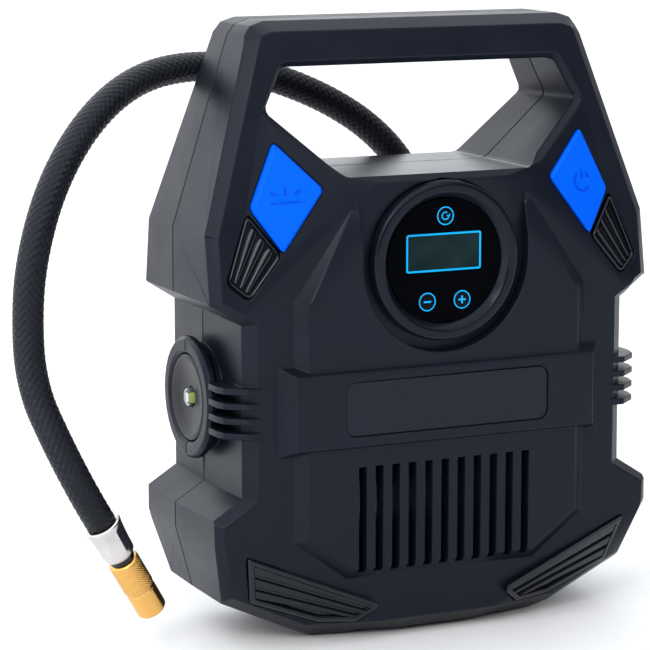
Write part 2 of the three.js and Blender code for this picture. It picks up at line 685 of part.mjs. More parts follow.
function kiteButton(side) {
  const x = side * BUTTON_X;
  const outline = softened(sided(KITE, side), CORNER);
  const cap = solid(facetPlate(outline, onSide(BROW, side), KITE_RAISE, KITE_SINK, 1));
  const stem = solid(boxBetween(x - 3, x + 3, -35, -29.6, 163, 169));
  return surface(cap.add(stem));
}

/* Small board with a push switch behind a blue button. */
function buttonSwitch(side) {
  const x = side * BUTTON_X;
  const { front, back, half, low, high } = SWITCH_BOARD;
  const plate = solid(boxBetween(x - half, x + half, front, back, low, high));
  const block = solid(boxBetween(x - 4, x + 4, -28, front + 0.1, 161.5, 169));
  return surface(plate.add(block));
}

/* Glossy insert below a blue button: a tapering plate with grooves that leave three ribs. */
function upperInsert(side) {
  const [outer, low, inner, near] = UPPER_INSERT;
  const skin = onSide(BROW, side);
  const plate = solid(facetPlate(softened(sided(UPPER_INSERT, side), CORNER), skin, 1, 1.2, 0.6));
  const grooves = [[0.24, 0.36], [0.64, 0.76]].map(([s, t]) => {
    const [a, b] = [between(outer, near, s), between(outer, near, t)];
    const [c, d] = [between(low, inner, t), between(low, inner, s)];
    const ring = [between(a, d, -0.2), between(a, d, 0.86), between(b, c, 0.86), between(b, c, -0.2)];
    return solid(facetPlate(sided(ring, side), skin, 3, 0.1));
  });
  return surface(cut(plate, grooves));
}

/* Framed grille in a lower corner, with three slanting grooves inside its frame. */
function lowerGrille(side) {
  const skin = onSide(CHIN, side);
  const outline = softened(sided(LOWER_GRILLE, side), GRILLE_CORNER);
  const plate = solid(facetPlate(outline, skin, 1, 1.2, 0.7));
  const frame = grown(edgesOf(outline), -2);
  const well = solid(convex([...frame.map(inside), plane(0, -1, 0, FAR), ahead(lifted(skin, 0.2))]));
  const [top, low] = [LOWER_GRILLE[0], LOWER_GRILLE[1]];
  const [toe, end] = [LOWER_GRILLE[3], LOWER_GRILLE[5]];
  const ribs = [0.22, 0.5, 0.78].map((share) => {
    const a = between(top, low, share - 0.09);
    const b = between(top, low, share + 0.09);
    const c = between(end, toe, share + 0.1);
    const d = between(end, toe, share - 0.02);
    return solid(facetPlate(sided([a, b, c, d], side), skin, 0.7, 1));
  });
  const bars = joined(ribs).intersect(solid(convex([
    ...grown(edgesOf(outline), -1).map(inside), plane(0, -1, 0, FAR), plane(0, 1, 0, FAR),
  ])));
  return surface(cut(plate, [well]).add(bars));
}

const namePlate = () => prismY(plateOutline(GAP), BAND.front + 0.5, BAND.front + PLATE.depth - GAP);

/* ------------------------------------------------------------------ lamp */

function lampReflector() {
  const r = LAMP.dish - GAP;
  const profile = [
    [LAMP.lens + GAP, -5.6], [r, -5.6], [r, -0.9], [r - 1.4, -0.5], [9.4, -1.7],
    [LAMP.lens + 1.2, -2.3], [LAMP.lens + GAP, -2.3], [LAMP.lens + GAP, -5.6],
  ];
  return turned(profile, [-LAMP.face, 0, LAMP.z], [-1, 0, 0], 32);
}

/* Square block on the lamp's axis, between two depths behind its face. */
function lampBlock(near, far, half) {
  return boxBetween(-LAMP.face + near, -LAMP.face + far, -half, half, LAMP.z - half, LAMP.z + half);
}

function lampLens() {
  const profile = [[0, -7.2], [LAMP.lens, -7.2], [LAMP.lens, -0.9], [3.1, -0.4], [1.8, -0.1], [0, 0]];
  const body = solid(turned(profile, [-LAMP.face, 0, LAMP.z], [-1, 0, 0], 20));
  return surface(body.subtract(solid(lampBlock(1, 9, LAMP.led + GAP))));
}

const lampLed = () => lampBlock(1 + GAP, 7.2, LAMP.led);
const lampBoard = () => rodX(14, 0, LAMP.z, -LAMP.face + 7.5, -LAMP.face + 9.1, 20);

function sideCap() {
  const r = LAMP.dish - GAP;
  const profile = [
    [0, -6], [r, -6], [r, -1.4], [r - 1.4, -1.4], [r - 2.6, -2.4], [7, -2.4], [6, -1.6], [0, -1.6],
  ];
  return turned(profile, [LAMP.face, 0, LAMP.z], [1, 0, 0], 32);
}

/* ------------------------------------------------------------------ motor and pump */

/* Toothed disc along X from x0, with flat-topped teeth. */
function toothed({ teeth, tip, root }, z, x0, x1, bore) {
  const shape = new THREE.Shape();
  const step = (2 * Math.PI) / teeth;
  for (let i = 0; i < teeth; i += 1) {
    [[root, -0.3], [tip, -0.16], [tip, 0.16], [root, 0.3]].forEach(([radius, share]) => {
      const angle = (i + share) * step;
      const point = [radius * Math.cos(angle), radius * Math.sin(angle)];
      if (i === 0 && share === -0.3) shape.moveTo(...point);
      else shape.lineTo(...point);
    });
  }
  const hole = new THREE.Path();
  hole.absarc(0, 0, bore, 0, 2 * Math.PI, true);
  shape.holes.push(hole);
  const depth = x1 - x0;
  const geometry = new THREE.ExtrudeGeometry(shape, { depth, bevelEnabled: false, curveSegments: 6 });
  geometry.rotateY(Math.PI / 2);
  geometry.translate(x0, 0, z);
  return geometry;
}

function motorCan() {
  const { radius, left, right, z } = MOTOR;
  const body = solid(rodX(radius, 0, z, left, right, 24));
  const neck = solid(rodX(5, 0, z, left - 2, left + 1, 12));
  return surface(cut(body.add(neck), [solid(rodX(2.3, 0, z, left - 4, right + 4, 12))]));
}

function motorEndCap() {
  const { radius, right, z } = MOTOR;
  const disc = solid(rodX(radius - 1, 0, z, right + GAP, right + 2.6, 24));
  return surface(cut(disc, [solid(rodX(2.3, 0, z, right - 2, right + 8, 12))]));
}

const motorShaft = () => rodX(1.7, 0, MOTOR.z, MOTOR.left - 10, GEAR_X + GEAR_WIDTH + 1, 12);
const motorPinion = () => toothed(PINION, MOTOR.z, GEAR_X, GEAR_X + GEAR_WIDTH, 2);

function motorFan() {
  const { left, z } = MOTOR;
  const hub = solid(rodX(4.6, 0, z, left - 9, left - 3, 16));
  const blades = Array.from({ length: 7 }, (_, i) => {
    const blade = boxBetween(left - 8.6, left - 3.4, -0.8, 0.8, 3.6, 16);
    blade.rotateX((i * 2 * Math.PI) / 7);
    blade.translate(0, 0, z);
    return solid(blade);
  });
  return surface(cut(joined([hub, ...blades]), [solid(rodX(2, 0, z, left - 20, left, 12))]));
}

/* Rubber ring between the motor and a cradle rib. */
function motorRing(x0) {
  const end = x0 + CRADLE.ringWidth;
  const ring = solid(rodX(CRADLE.ring, 0, MOTOR.z, x0, end, 24));
  return surface(ring.subtract(solid(rodX(MOTOR.radius + GAP, 0, MOTOR.z, x0 - 1, end + 1, 24))));
}

function crankGear() {
  const end = GEAR_X + GEAR_WIDTH;
  const disc = solid(toothed(GEAR, GEAR.z, GEAR_X, end, 3.4));
  const holes = Array.from({ length: 5 }, (_, i) => {
    const angle = Math.PI / 2 + ((i + 0.5) * 2 * Math.PI) / 5;
    const [y, z] = [13 * Math.cos(angle), GEAR.z + 13 * Math.sin(angle)];
    return solid(rodX(3, y, z, GEAR_X - 1, end + 1, 12));
  });
  const seat = solid(rodX(2.8, 0, GEAR.z + CRANK_RADIUS, GEAR_X + 3, end + 1, 12));
  return surface(cut(disc, [...holes, seat]));
}

const crankPin = () => rodX(2.5, 0, GEAR.z + CRANK_RADIUS, GEAR_X + 3 + GAP, PUMP_X - 3.3, 12);
const crankAxle = () => rodX(3, 0, GEAR.z, 9.4, GEAR_X + GEAR_WIDTH + 2, 16);

/* Frame that holds the motor end, the gear axle and the cylinder. */
function pumpFrame() {
  const outline = [
    [-15, 40], [15, 40], [18, 60], [18, 84], [FRAME.back, 92], [FRAME.back, 116], [-14, 116], [-14, 84],
    [-18, 80], [-18, 60],
  ];
  const { left, right, shelf: shelfZ } = FRAME;
  const side = solid(prismX(outline, left, right));
  const shelf = solid(boxBetween(left + 0.2, PUMP_X + 17, -15, 15, shelfZ, CYLINDER.low - GAP));
  return surface(cut(joined([side, shelf]), [
    solid(rodX(6, 0, MOTOR.z, 0, 30, 16)),
    solid(rodX(3.3, 0, GEAR.z, 0, 30, 16)),
    solid(rodZ(BORE + 1.4, PUMP_X, 0, 90, 120, 24)),
  ]));
}

function pumpCylinder() {
  const { low, high } = CYLINDER;
  const barrel = solid(rodZ(BORE + 3, PUMP_X, 0, low, high, 24));
  const rings = Array.from({ length: 4 }, (_, i) =>
    solid(rodZ(BORE + 5.6, PUMP_X, 0, 111 + i * 7, 113 + i * 7, 24)));
  return surface(cut(joined([barrel, ...rings]), [solid(rodZ(BORE, PUMP_X, 0, 90, 150, 24))]));
}

function cylinderHead() {
  const { high, lid, outlet } = CYLINDER;
  const disc = solid(rodZ(BORE + 5, PUMP_X, 0, high + GAP, lid, 24));
  const nipple = solid(rodY(3, PUMP_X, outlet, 10, 21, 12));
  return surface(cut(disc.add(nipple), [
    solid(rodY(1.6, PUMP_X, outlet, 4, 30, 8)), solid(rodZ(1.6, PUMP_X, 5, 130, outlet, 8)),
  ]));
}

/* Connecting rod with its big end beside the crank pin and its top plate under the piston cup. */
function pistonRod() {
  const pin = GEAR.z + CRANK_RADIUS;
  const eye = solid(rodX(6, 0, pin, PUMP_X - 3, PUMP_X + 3, 20));
  const bar = solid(boxBetween(PUMP_X - 2.4, PUMP_X + 2.4, -2.4, 2.4, pin + 4, PISTON_Z));
  const head = solid(rodZ(8.6, PUMP_X, 0, PISTON_Z - 1, PISTON_Z + 1.6, 24));
  return surface(cut(joined([eye, bar, head]), [solid(rodX(2.9, 0, pin, 0, FAR, 12))]));
}

const pistonCup = () => turned(
  [[0, 0], [9.2, 0], [10.1, 3], [9.3, 3], [8.4, 1.2], [0, 1.2]],
  [PUMP_X, 0, PISTON_Z + 1.9], [0, 0, 1], 24,
);

/* A tube of circular section along a path. */
function tube(points, radius, sides, steps) {
  const path = new THREE.CatmullRomCurve3(points.map((point) => new THREE.Vector3(...point)));
  const section = new THREE.Shape();
  for (let i = 0; i < sides; i += 1) {
    const angle = (i * 2 * Math.PI) / sides;
    const point = [radius * Math.cos(angle), radius * Math.sin(angle)];
    if (i === 0) section.moveTo(...point);
    else section.lineTo(...point);
  }
  return new THREE.ExtrudeGeometry(section, { steps, bevelEnabled: false, extrudePath: path });
}

/* Air line from the cylinder head down to the gland. */
function airLine() {
  const [x, y, z] = HOSE_EXIT;
  const { outlet } = CYLINDER;
  return tube([
    [PUMP_X, 21.8, outlet], [PUMP_X, 23.4, outlet], [PUMP_X, 25.4, outlet - 1.6],
    [PUMP_X + 0.4, 26.2, outlet - 5], [PUMP_X + 1.4, 26.4, outlet - 17], [x, 26.4, z - 8], [x, 26.4, z - 20],
    [x, 27.2, z - 26.6], [x, 29.6, z - GLAND.air], [x, y - 5.6, z - GLAND.air],
  ], 2.6, 8, 16);
}

/* ------------------------------------------------------------------ hose */

function hoseGland() {
  const [x, y, z] = HOSE_EXIT;
  const { bore, mouth, tail, collar } = GLAND;
  const [inner, outer] = [bore - GAP, mouth - GAP];
  const profile = [
    [0, -tail], [inner, -tail], [inner, -collar + GAP], [outer, -collar + GAP], [outer, -8], [6, -7.4],
    [6, -GAP], [0, -GAP],
  ];
  return turned(profile, [x, y, z], [0, 0, 1], 20);
}

const routePoints = HOSE_ROUTE.map((point) => new THREE.Vector3(...point));
const hoseEnd = routePoints.at(-1);
const hoseAxis = hoseEnd.clone().sub(routePoints.at(-2)).normalize();

const hose = () => tube(HOSE_ROUTE, HOSE_RADIUS, 10, CORD_STEPS);

/* A turned piece on the end of the hose, its base `start` beyond the hose end. */
function endPiece(profile, start, sides) {
  const base = hoseEnd.clone().addScaledVector(hoseAxis, start);
  return turned(profile, base.toArray(), hoseAxis.toArray(), sides);
}

const FERRULE_START = GAP;
const STEM_START = FERRULE_START + FERRULE_LENGTH + GAP;
const STEM_LENGTH = 2;
const CHUCK_START = STEM_START + STEM_LENGTH + GAP;

const hoseFerrule = () => endPiece([
  [0, 0], [6.7, 0], [7.2, 0.7], [7, 3], [6.2, 11], [6.1, FERRULE_LENGTH - 0.8],
  [5.6, FERRULE_LENGTH], [0, FERRULE_LENGTH],
], FERRULE_START, 24);

const chuckStem = () => endPiece([[0, 0], [5, 0], [5, STEM_LENGTH], [0, STEM_LENGTH]], STEM_START, 16);

/* Knurled brass collar that screws onto the valve, open at its end. */
function chuckCollar() {
  const r = CHUCK_RADIUS;
  const body = solid(endPiece([
    [0, 0], [r - 0.8, 0], [r, 0.8], [r, KNURL_LENGTH], [r - 0.5, KNURL_LENGTH + 0.6],
    [r - 0.5, CHUCK_LENGTH - 0.8], [r - 1.1, CHUCK_LENGTH], [0, CHUCK_LENGTH],
  ], CHUCK_START, 28));
  const { radius, depth } = CHUCK_BORE;
  const start = CHUCK_START + CHUCK_LENGTH - depth;
  const bore = solid(endPiece([[0, 0], [radius, 0], [radius, depth + 2], [0, depth + 2]], start, 20));
  return surface(body.subtract(bore));
}

function chuckSeal() {
  const outer = CHUCK_BORE.radius - GAP;
  const profile = [[1.4, 0], [outer, 0], [outer, 2.4], [1.4, 2.4], [1.4, 0]];
  return endPiece(profile, CHUCK_START + CHUCK_LENGTH - CHUCK_BORE.depth + GAP, 16);
}

/* ------------------------------------------------------------------ small parts */

function housingScrew([x, z]) {
  const head = solid(rodY(3.7, x, z, SCREW_SEAT + GAP, SCREW_SEAT + 3, 12));
  const shank = solid(rodY(1.5, x, z, -12, SCREW_SEAT + 1, 8));
  const cross = [[2.4, 0.5], [0.5, 2.4]].map(([w, h]) =>
    solid(boxBetween(x - w, x + w, SCREW_SEAT + 1.8, FAR, z - h, z + h)));
  return surface(cut(head.add(shank), cross));
}

function powerGland() {
  const profile = [
    [0, 0], [6, 0], [6, 4.8], [8.4, 5], [8.4, 6.6], [6.6, 7.2], [5.4, 11], [3.2, 11], [3.2, 4], [0, 4],
  ];
  return turned(profile, POWER_INLET, [0, 1, 0], 20);
}

/* ------------------------------------------------------------------ assembly */

const inflator = new THREE.Group();

function place(name, geometry, material) {
  const mesh = new THREE.Mesh(geometry, material);
  mesh.name = name;
  inflator.add(mesh);
}

const outer = caseBlocks(0).subtract(archTool());
const bosses = joined([sideBoss(-1), sideBoss(1)]);
const cavity = caseBlocks(WALL).subtract(openingTool(WALL));

place('front_shell', frontShell(outer.add(bosses), cavity), MATERIAL.case);
place('rear_shell', rearShell(outer.add(bosses), cavity), MATERIAL.case);

place('display_bezel', displayBezel(), MATERIAL.gloss);
place('display_lens', displayLens(), MATERIAL.glass);
place('lcd_module', lcdModule(), MATERIAL.screen);
place('control_board', controlBoard(), MATERIAL.board);
DISPLAY_BUTTONS.forEach((button) => place(button.name, displayButton(button), MATERIAL.key));

place('light_button', kiteButton(-1), MATERIAL.blue);
place('power_button', kiteButton(1), MATERIAL.blue);
place('light_switch', buttonSwitch(-1), MATERIAL.switch);
place('power_switch', buttonSwitch(1), MATERIAL.switch);
[['left', -1], ['right', 1]].forEach(([name, side]) => {
  place(`upper_${name}_insert`, upperInsert(side), MATERIAL.gloss);
  place(`lower_${name}_grille`, lowerGrille(side), MATERIAL.gloss);
});
place('name_plate', namePlate(), MATERIAL.plate);

place('lamp_reflector', lampReflector(), MATERIAL.gloss);
place('lamp_lens', lampLens(), MATERIAL.clear);
place('lamp_led', lampLed(), MATERIAL.led);
place('lamp_board', lampBoard(), MATERIAL.board);
place('side_cap', sideCap(), MATERIAL.gloss);

place('motor_can', motorCan(), MATERIAL.steel);
place('motor_end_cap', motorEndCap(), MATERIAL.nylon);
place('motor_shaft', motorShaft(), MATERIAL.steel);
place('motor_pinion', motorPinion(), MATERIAL.brass);
place('motor_fan', motorFan(), MATERIAL.nylon);
place('motor_ring_left', motorRing(-39), MATERIAL.rubber);
place('motor_ring_right', motorRing(-9), MATERIAL.rubber);
place('crank_gear', crankGear(), MATERIAL.nylon);
place('crank_pin', crankPin(), MATERIAL.steel);
place('crank_axle', crankAxle(), MATERIAL.steel);
place('pump_frame', pumpFrame(), MATERIAL.alloy);
place('pump_cylinder', pumpCylinder(), MATERIAL.alloy);
place('cylinder_head', cylinderHead(), MATERIAL.alloy);
place('piston_rod', pistonRod(), MATERIAL.alloy);
place('piston_cup', pistonCup(), MATERIAL.seal);
place('air_line', airLine(), MATERIAL.rubber);

place('hose_gland', hoseGland(), MATERIAL.rubber);
place('hose', hose(), MATERIAL.braid);
place('hose_ferrule', hoseFerrule(), MATERIAL.zinc);
place('chuck_stem', chuckStem(), MATERIAL.gloss);
place('chuck_collar', chuckCollar(), MATERIAL.brass);
place('chuck_seal', chuckSeal(), MATERIAL.seal);

place('power_gland', powerGland(), MATERIAL.rubber);
SCREWS.forEach((spot, i) => place(`housing_screw_${i + 1}`, housingScrew(spot), MATERIAL.steel));

export default inflator;
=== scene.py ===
"""Portable tire inflator: its looks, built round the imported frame. Metres, in the frame's axes."""

import json
import math

import bmesh
import bpy
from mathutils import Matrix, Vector
from mathutils.bvhtree import BVHTree
from mathutils.geometry import convex_hull_2d, intersect_line_line_2d


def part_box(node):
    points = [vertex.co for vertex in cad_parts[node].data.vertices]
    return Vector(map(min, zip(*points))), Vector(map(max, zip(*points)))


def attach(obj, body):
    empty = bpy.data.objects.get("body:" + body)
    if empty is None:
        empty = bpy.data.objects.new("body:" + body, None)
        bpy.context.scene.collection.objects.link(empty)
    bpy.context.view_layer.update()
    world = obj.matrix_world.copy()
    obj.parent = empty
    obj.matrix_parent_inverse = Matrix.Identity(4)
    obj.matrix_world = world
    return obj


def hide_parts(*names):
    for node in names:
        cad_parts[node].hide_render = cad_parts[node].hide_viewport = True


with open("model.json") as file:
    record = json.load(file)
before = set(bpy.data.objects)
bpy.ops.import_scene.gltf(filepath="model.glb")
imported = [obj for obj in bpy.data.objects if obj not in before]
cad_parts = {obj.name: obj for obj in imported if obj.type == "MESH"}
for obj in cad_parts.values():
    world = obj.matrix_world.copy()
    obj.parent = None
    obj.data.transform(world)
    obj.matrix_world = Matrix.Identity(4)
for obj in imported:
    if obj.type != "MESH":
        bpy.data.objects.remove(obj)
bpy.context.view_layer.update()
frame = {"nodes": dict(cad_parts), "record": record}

MM = 0.001
GAP = 0.3 * MM
WELD = 0.01 * MM
SHARP_EDGE = math.radians(24)
BEVEL_SEGMENTS = 3
NORMAL_WEIGHT = 60


# ---------------------------------------------------------------- camera

TARGET = Vector((-0.0383, -0.0187, 0.1173))
DISTANCE = 1.0022
AZIMUTH = math.radians(-24.6)
ELEVATION = math.radians(10.1)
LENS = 149


def make_camera():
    data = bpy.data.cameras.new("camera")
    data.lens = LENS
    data.sensor_width = 36
    camera = bpy.data.objects.new("camera", data)
    away = Vector((
        math.sin(AZIMUTH) * math.cos(ELEVATION),
        -math.cos(AZIMUTH) * math.cos(ELEVATION),
        math.sin(ELEVATION),
    ))
    camera.location = TARGET + away * DISTANCE
    camera.rotation_euler = (-away).to_track_quat("-Z", "Y").to_euler()
    bpy.context.scene.collection.objects.link(camera)
    bpy.context.scene.camera = camera


# ---------------------------------------------------------------- materials

COOL_GLOSS = (0.82, 0.88, 1, 1)
NOISE_ROUGHNESS = 0.6


def add_node(tree, kind, values=(), **settings):
    """A shader node with its settings, and its input sockets' values by name."""
    node = tree.nodes.new(kind)
    for key, value in settings.items():
        setattr(node, key, value)
    for key, value in dict(values).items():
        node.inputs[key].default_value = value
    return node


def start_material(name, color, roughness, metallic=0.0, specular=0.5):
    material = bpy.data.materials.new(name)
    material.use_nodes = True
    shader = material.node_tree.nodes["Principled BSDF"]
    shader.inputs["Base Color"].default_value = (*color, 1)
    shader.inputs["Roughness"].default_value = roughness
    shader.inputs["Metallic"].default_value = metallic
    shader.inputs["Specular IOR Level"].default_value = specular
    shader.inputs["Specular Tint"].default_value = COOL_GLOSS if metallic == 0 else (1, 1, 1, 1)
    material.diffuse_color = (*color, 1)
    return material, material.node_tree, shader


def noise(tree, vector, scale, detail=3.0):
    node = add_node(tree, "ShaderNodeTexNoise", {
        "Scale": scale, "Detail": detail, "Roughness": NOISE_ROUGHNESS,
    })
    tree.links.new(vector, node.inputs["Vector"])
    return node.outputs["Fac"]


def mapped(tree, value, low, high):
    """A noise value stretched to run from low to high."""
    node = add_node(tree, "ShaderNodeMapRange", {
        "From Min": 0.3, "From Max": 0.7, "To Min": low, "To Max": high,
    })
    tree.links.new(value, node.inputs["Value"])
    return node.outputs["Result"]


def shifted_color(tree, factor, dark, light):
    node = add_node(tree, "ShaderNodeMix", data_type="RGBA")
    node.inputs["A"].default_value = (*dark, 1)
    node.inputs["B"].default_value = (*light, 1)
    tree.links.new(factor, node.inputs["Factor"])
    return node.outputs["Result"]


def bumped(tree, shader, height, distance, strength=1.0):
    node = add_node(tree, "ShaderNodeBump", {"Strength": strength, "Distance": distance})
    tree.links.new(height, node.inputs["Height"])
    tree.links.new(node.outputs["Normal"], shader.inputs["Normal"])


def surface(name, color, roughness, metallic=0.0, grain=1800, depth=0.02, spread=0.06, tint=0.15,
            specular=0.5, stretch=(1, 1, 1)):
    """Moulded, cast or drawn stuff: fine grain in the bump, wider drifts in roughness and colour."""
    material, tree, shader = start_material(name, color, roughness, metallic, specular)
    place = add_node(tree, "ShaderNodeTexCoord").outputs["Object"]
    stretched = add_node(tree, "ShaderNodeMapping", {"Scale": stretch})
    tree.links.new(place, stretched.inputs["Vector"])
    fine = noise(tree, stretched.outputs["Vector"], grain)
    wide = noise(tree, place, 45, detail=5)
    drift = mapped(tree, wide, roughness - spread, roughness + spread)
    speck = mapped(tree, fine, -spread / 2, spread / 2)
    total = add_node(tree, "ShaderNodeMath", operation="ADD")
    tree.links.new(drift, total.inputs[0])
    tree.links.new(speck, total.inputs[1])
    tree.links.new(total.outputs["Value"], shader.inputs["Roughness"])
    dark = [c * (1 - tint) for c in color]
    light = [min(1, c * (1 + tint)) for c in color]
    colors = shifted_color(tree, mapped(tree, wide, 0, 1), dark, light)
    tree.links.new(colors, shader.inputs["Base Color"])
    bumped(tree, shader, fine, depth * MM)
    return material


def braid_material():
    """Black yarn: fine threads run along each strand of the braid, with a soft sheen."""
    material, tree, shader = start_material("braid", (0.003, 0.0035, 0.006), 0.26, specular=0.28)
    around = add_node(tree, "ShaderNodeUVMap", uv_map="braid").outputs["UV"]
    threads = add_node(tree, "ShaderNodeTexWave", {
        "Scale": 9.0, "Distortion": 1.5, "Detail": 2.0, "Detail Scale": 3.0,
    }, wave_type="BANDS", bands_direction="DIAGONAL")
    tree.links.new(around, threads.inputs["Vector"])
    place = add_node(tree, "ShaderNodeTexCoord").outputs["Object"]
    wide = noise(tree, place, 220)
    tree.links.new(mapped(tree, wide, 0.2, 0.34), shader.inputs["Roughness"])
    colors = shifted_color(tree, mapped(tree, wide, 0, 1), (0.002, 0.0025, 0.005), (0.005, 0.006, 0.01))
    tree.links.new(colors, shader.inputs["Base Color"])
    bumped(tree, shader, threads.outputs["Fac"], 0.06 * MM, 0.6)
    return material


def screen_material():
    """Dark teal display glass, a little lighter where the light falls in."""
    material, tree, shader = start_material("screen", (0.006, 0.02, 0.023), 0.12, specular=0.05)
    place = add_node(tree, "ShaderNodeTexCoord").outputs["Object"]
    cloud = noise(tree, place, 60, detail=2)
    colors = shifted_color(tree, mapped(tree, cloud, 0, 1), (0.004, 0.012, 0.014), (0.009, 0.025, 0.027))
    tree.links.new(colors, shader.inputs["Base Color"])
    fine = noise(tree, place, 2600)
    tree.links.new(mapped(tree, fine, 0.09, 0.16), shader.inputs["Roughness"])
    bumped(tree, shader, fine, 0.002 * MM)
    return material


def clear_material():
    material, tree, shader = start_material("clear", (0.93, 0.95, 0.96), 0.04)
    shader.inputs["Transmission Weight"].default_value = 0.95
    shader.inputs["IOR"].default_value = 1.49
    place = add_node(tree, "ShaderNodeTexCoord").outputs["Object"]
    fine = noise(tree, place, 700)
    tree.links.new(mapped(tree, fine, 0.02, 0.07), shader.inputs["Roughness"])
    bumped(tree, shader, fine, 0.004 * MM)
    return material


BLACK = (0.0045, 0.0065, 0.0125)
MATERIAL = {
    "case": surface("case", BLACK, 0.36, grain=2600, depth=0.03, spread=0.05, specular=0.2),
    "gloss_black": surface("gloss_black", (0.005, 0.006, 0.01), 0.17, grain=900, depth=0.003,
                           spread=0.04, specular=0.4),
    "lens": surface("lens", (0.0004, 0.0005, 0.0012), 0.08, grain=700, depth=0.001, spread=0.02,
                    specular=0.02),
    "screen": screen_material(),
    "board": surface("board", (0.02, 0.12, 0.05), 0.4, grain=500, depth=0.03),
    "blue": surface("blue", (0.0, 0.105, 0.84), 0.4, grain=2400, depth=0.015, spread=0.04, tint=0.05,
                    specular=0.05),
    "plate": surface("plate", BLACK, 0.3, grain=3200, depth=0.012, spread=0.04, specular=0.25),
    "clear": clear_material(),
    "led": surface("led", (0.7, 0.8, 0.1), 0.35, grain=3000, depth=0.02, tint=0.2),
    "steel": surface("steel", (0.5, 0.5, 0.52), 0.34, 1.0, grain=900, stretch=(0.05, 1, 1)),
    "zinc": surface("zinc", (0.62, 0.595, 0.59), 0.2, 1.0, grain=1400, depth=0.012, spread=0.09,
                    tint=0.1),
    "alloy": surface("alloy", (0.5, 0.51, 0.53), 0.45, 1.0, grain=1100, depth=0.05),
    "brass": surface("brass", (0.8, 0.45, 0.13), 0.24, 1.0, grain=1600, depth=0.01, spread=0.08,
                     tint=0.1),
    "rubber": surface("rubber", (0.014, 0.014, 0.016), 0.7, grain=1500, depth=0.04),
    "nylon": surface("nylon", (0.62, 0.58, 0.46), 0.45, grain=1200, depth=0.02),
    "braid": braid_material(),
}
# materials that differ from their slot's usual one; the rear case and the ledge carry painted light, as
# noted at each
# the rear case's colour is a touch lighter than the front case: painted light for the light that grazes
# the rear walls; its rougher, coarser grain is a real finish
REAR_CASE = surface("rear_case", (0.007, 0.008, 0.013), 0.42, grain=1500, depth=0.05, spread=0.05,
                    specular=0.25)
BEZEL_BLACK = surface("bezel_black", (0.004, 0.005, 0.01), 0.2, grain=900, depth=0.003, spread=0.04,
                      specular=0.2)
INSERT_BLACK = surface("insert_black", (0.0015, 0.002, 0.004), 0.11, grain=900, depth=0.002,
                       spread=0.03, specular=0.45)
KEY_BLACK = surface("key_black", (0.001, 0.002, 0.004), 0.16, grain=900, depth=0.002, spread=0.03,
                    specular=0.08)
# painted highlight: a much lighter colour for the ledge that faces up, with smoother grain and strong
# gloss
LEDGE = surface("ledge_with_painted_highlight", (0.02, 0.021, 0.026), 0.3, grain=2200, depth=0.008, spread=0.03,
                specular=0.9)
DISH_BLACK = surface("dish_black", (0.008, 0.008, 0.01), 0.34, grain=900, depth=0.004, spread=0.04,
                     specular=0.2)
CYAN = surface("printed_cyan", (0.004, 0.42, 0.9), 0.3, grain=2000, depth=0.004, tint=0.1, specular=0.1)
BLUE_LINE = surface("raised_blue", (0.0, 0.06, 0.55), 0.3, grain=2400, depth=0.01, tint=0.06,
                    specular=0.1)


# ---------------------------------------------------------------- mesh pieces

def piece(name, bm, material, body, sharp=30):
    """Makes the mesh a smooth-shaded piece of the object, with edges over `sharp` degrees left crisp."""
    bmesh.ops.recalc_face_normals(bm, faces=bm.faces[:])
    for face in bm.faces:
        face.smooth = True
    for edge in bm.edges:
        edge.smooth = not edge.is_manifold or edge.calc_face_angle() < math.radians(sharp)
    mesh = bpy.data.meshes.new(name)
    bm.to_mesh(mesh)
    bm.free()
    mesh.materials.append(material)
    obj = bpy.data.objects.new(name, mesh)
    bpy.context.scene.collection.objects.link(obj)
    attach(obj, body)
    return obj


def across(axis):
    """Two directions square to an axis and to each other."""
    helper = Vector((0, 0, 1)) if abs(axis.z) < 0.9 else Vector((1, 0, 0))
    u = helper.cross(axis).normalized()
    return u, axis.cross(u)


def spoke(u, v, angle):
    """The direction at an angle between two square directions."""
    return u * math.cos(angle) + v * math.sin(angle)


def rounded(profile, radius, steps=4, closed=False):
    """The same outline with its corners turned into arcs where there is room."""
    points = [Vector(p) for p in profile]
    result = []
    for i, here in enumerate(points):
        end = not closed and i in (0, len(points) - 1)
        before, after = points[i - 1], points[(i + 1) % len(points)]
        if end or (before - here).length < 1e-7 or (after - here).length < 1e-7:
            result.append(here)
            continue
        to, on = (before - here).normalized(), (after - here).normalized()
        reach = min(radius, 0.45 * (before - here).length, 0.45 * (after - here).length)
        if to.dot(on) < -0.999:
            result.append(here)
            continue
        for k in range(steps + 1):
            t = k / steps
            a, b = here + to * reach, here + on * reach
            result.append(a * (1 - t) ** 2 + here * 2 * t * (1 - t) + b * t ** 2)
    return result


def lathe(profile, base, axis, segments=96, closed=False):
    """Turns (radius, height) points about an axis that starts at base."""
    bm = bmesh.new()
    u, v = across(axis)
    rings = []
    for radius, height in profile:
        middle = base + axis * height
        if radius < 1e-6:
            rings.append([bm.verts.new(middle)])
            continue
        turns = [2 * math.pi * i / segments for i in range(segments)]
        rings.append([bm.verts.new(middle + spoke(u, v, t) * radius) for t in turns])
    pairs = list(zip(rings, rings[1:])) + ([(rings[-1], rings[0])] if closed else [])
    for low, high in pairs:
        bridge(bm, low, high)
    return bm


def bridge(bm, low, high):
    """Faces between two rings, either of which may be a single point on the axis."""
    count = max(len(low), len(high))
    if count == 1:
        return
    for i in range(count):
        j = (i + 1) % count
        corners = [low[i % len(low)], low[j % len(low)], high[j % len(high)], high[i % len(high)]]
        corners = list(dict.fromkeys(corners))
        if len(corners) > 2:
            bm.faces.new(corners)


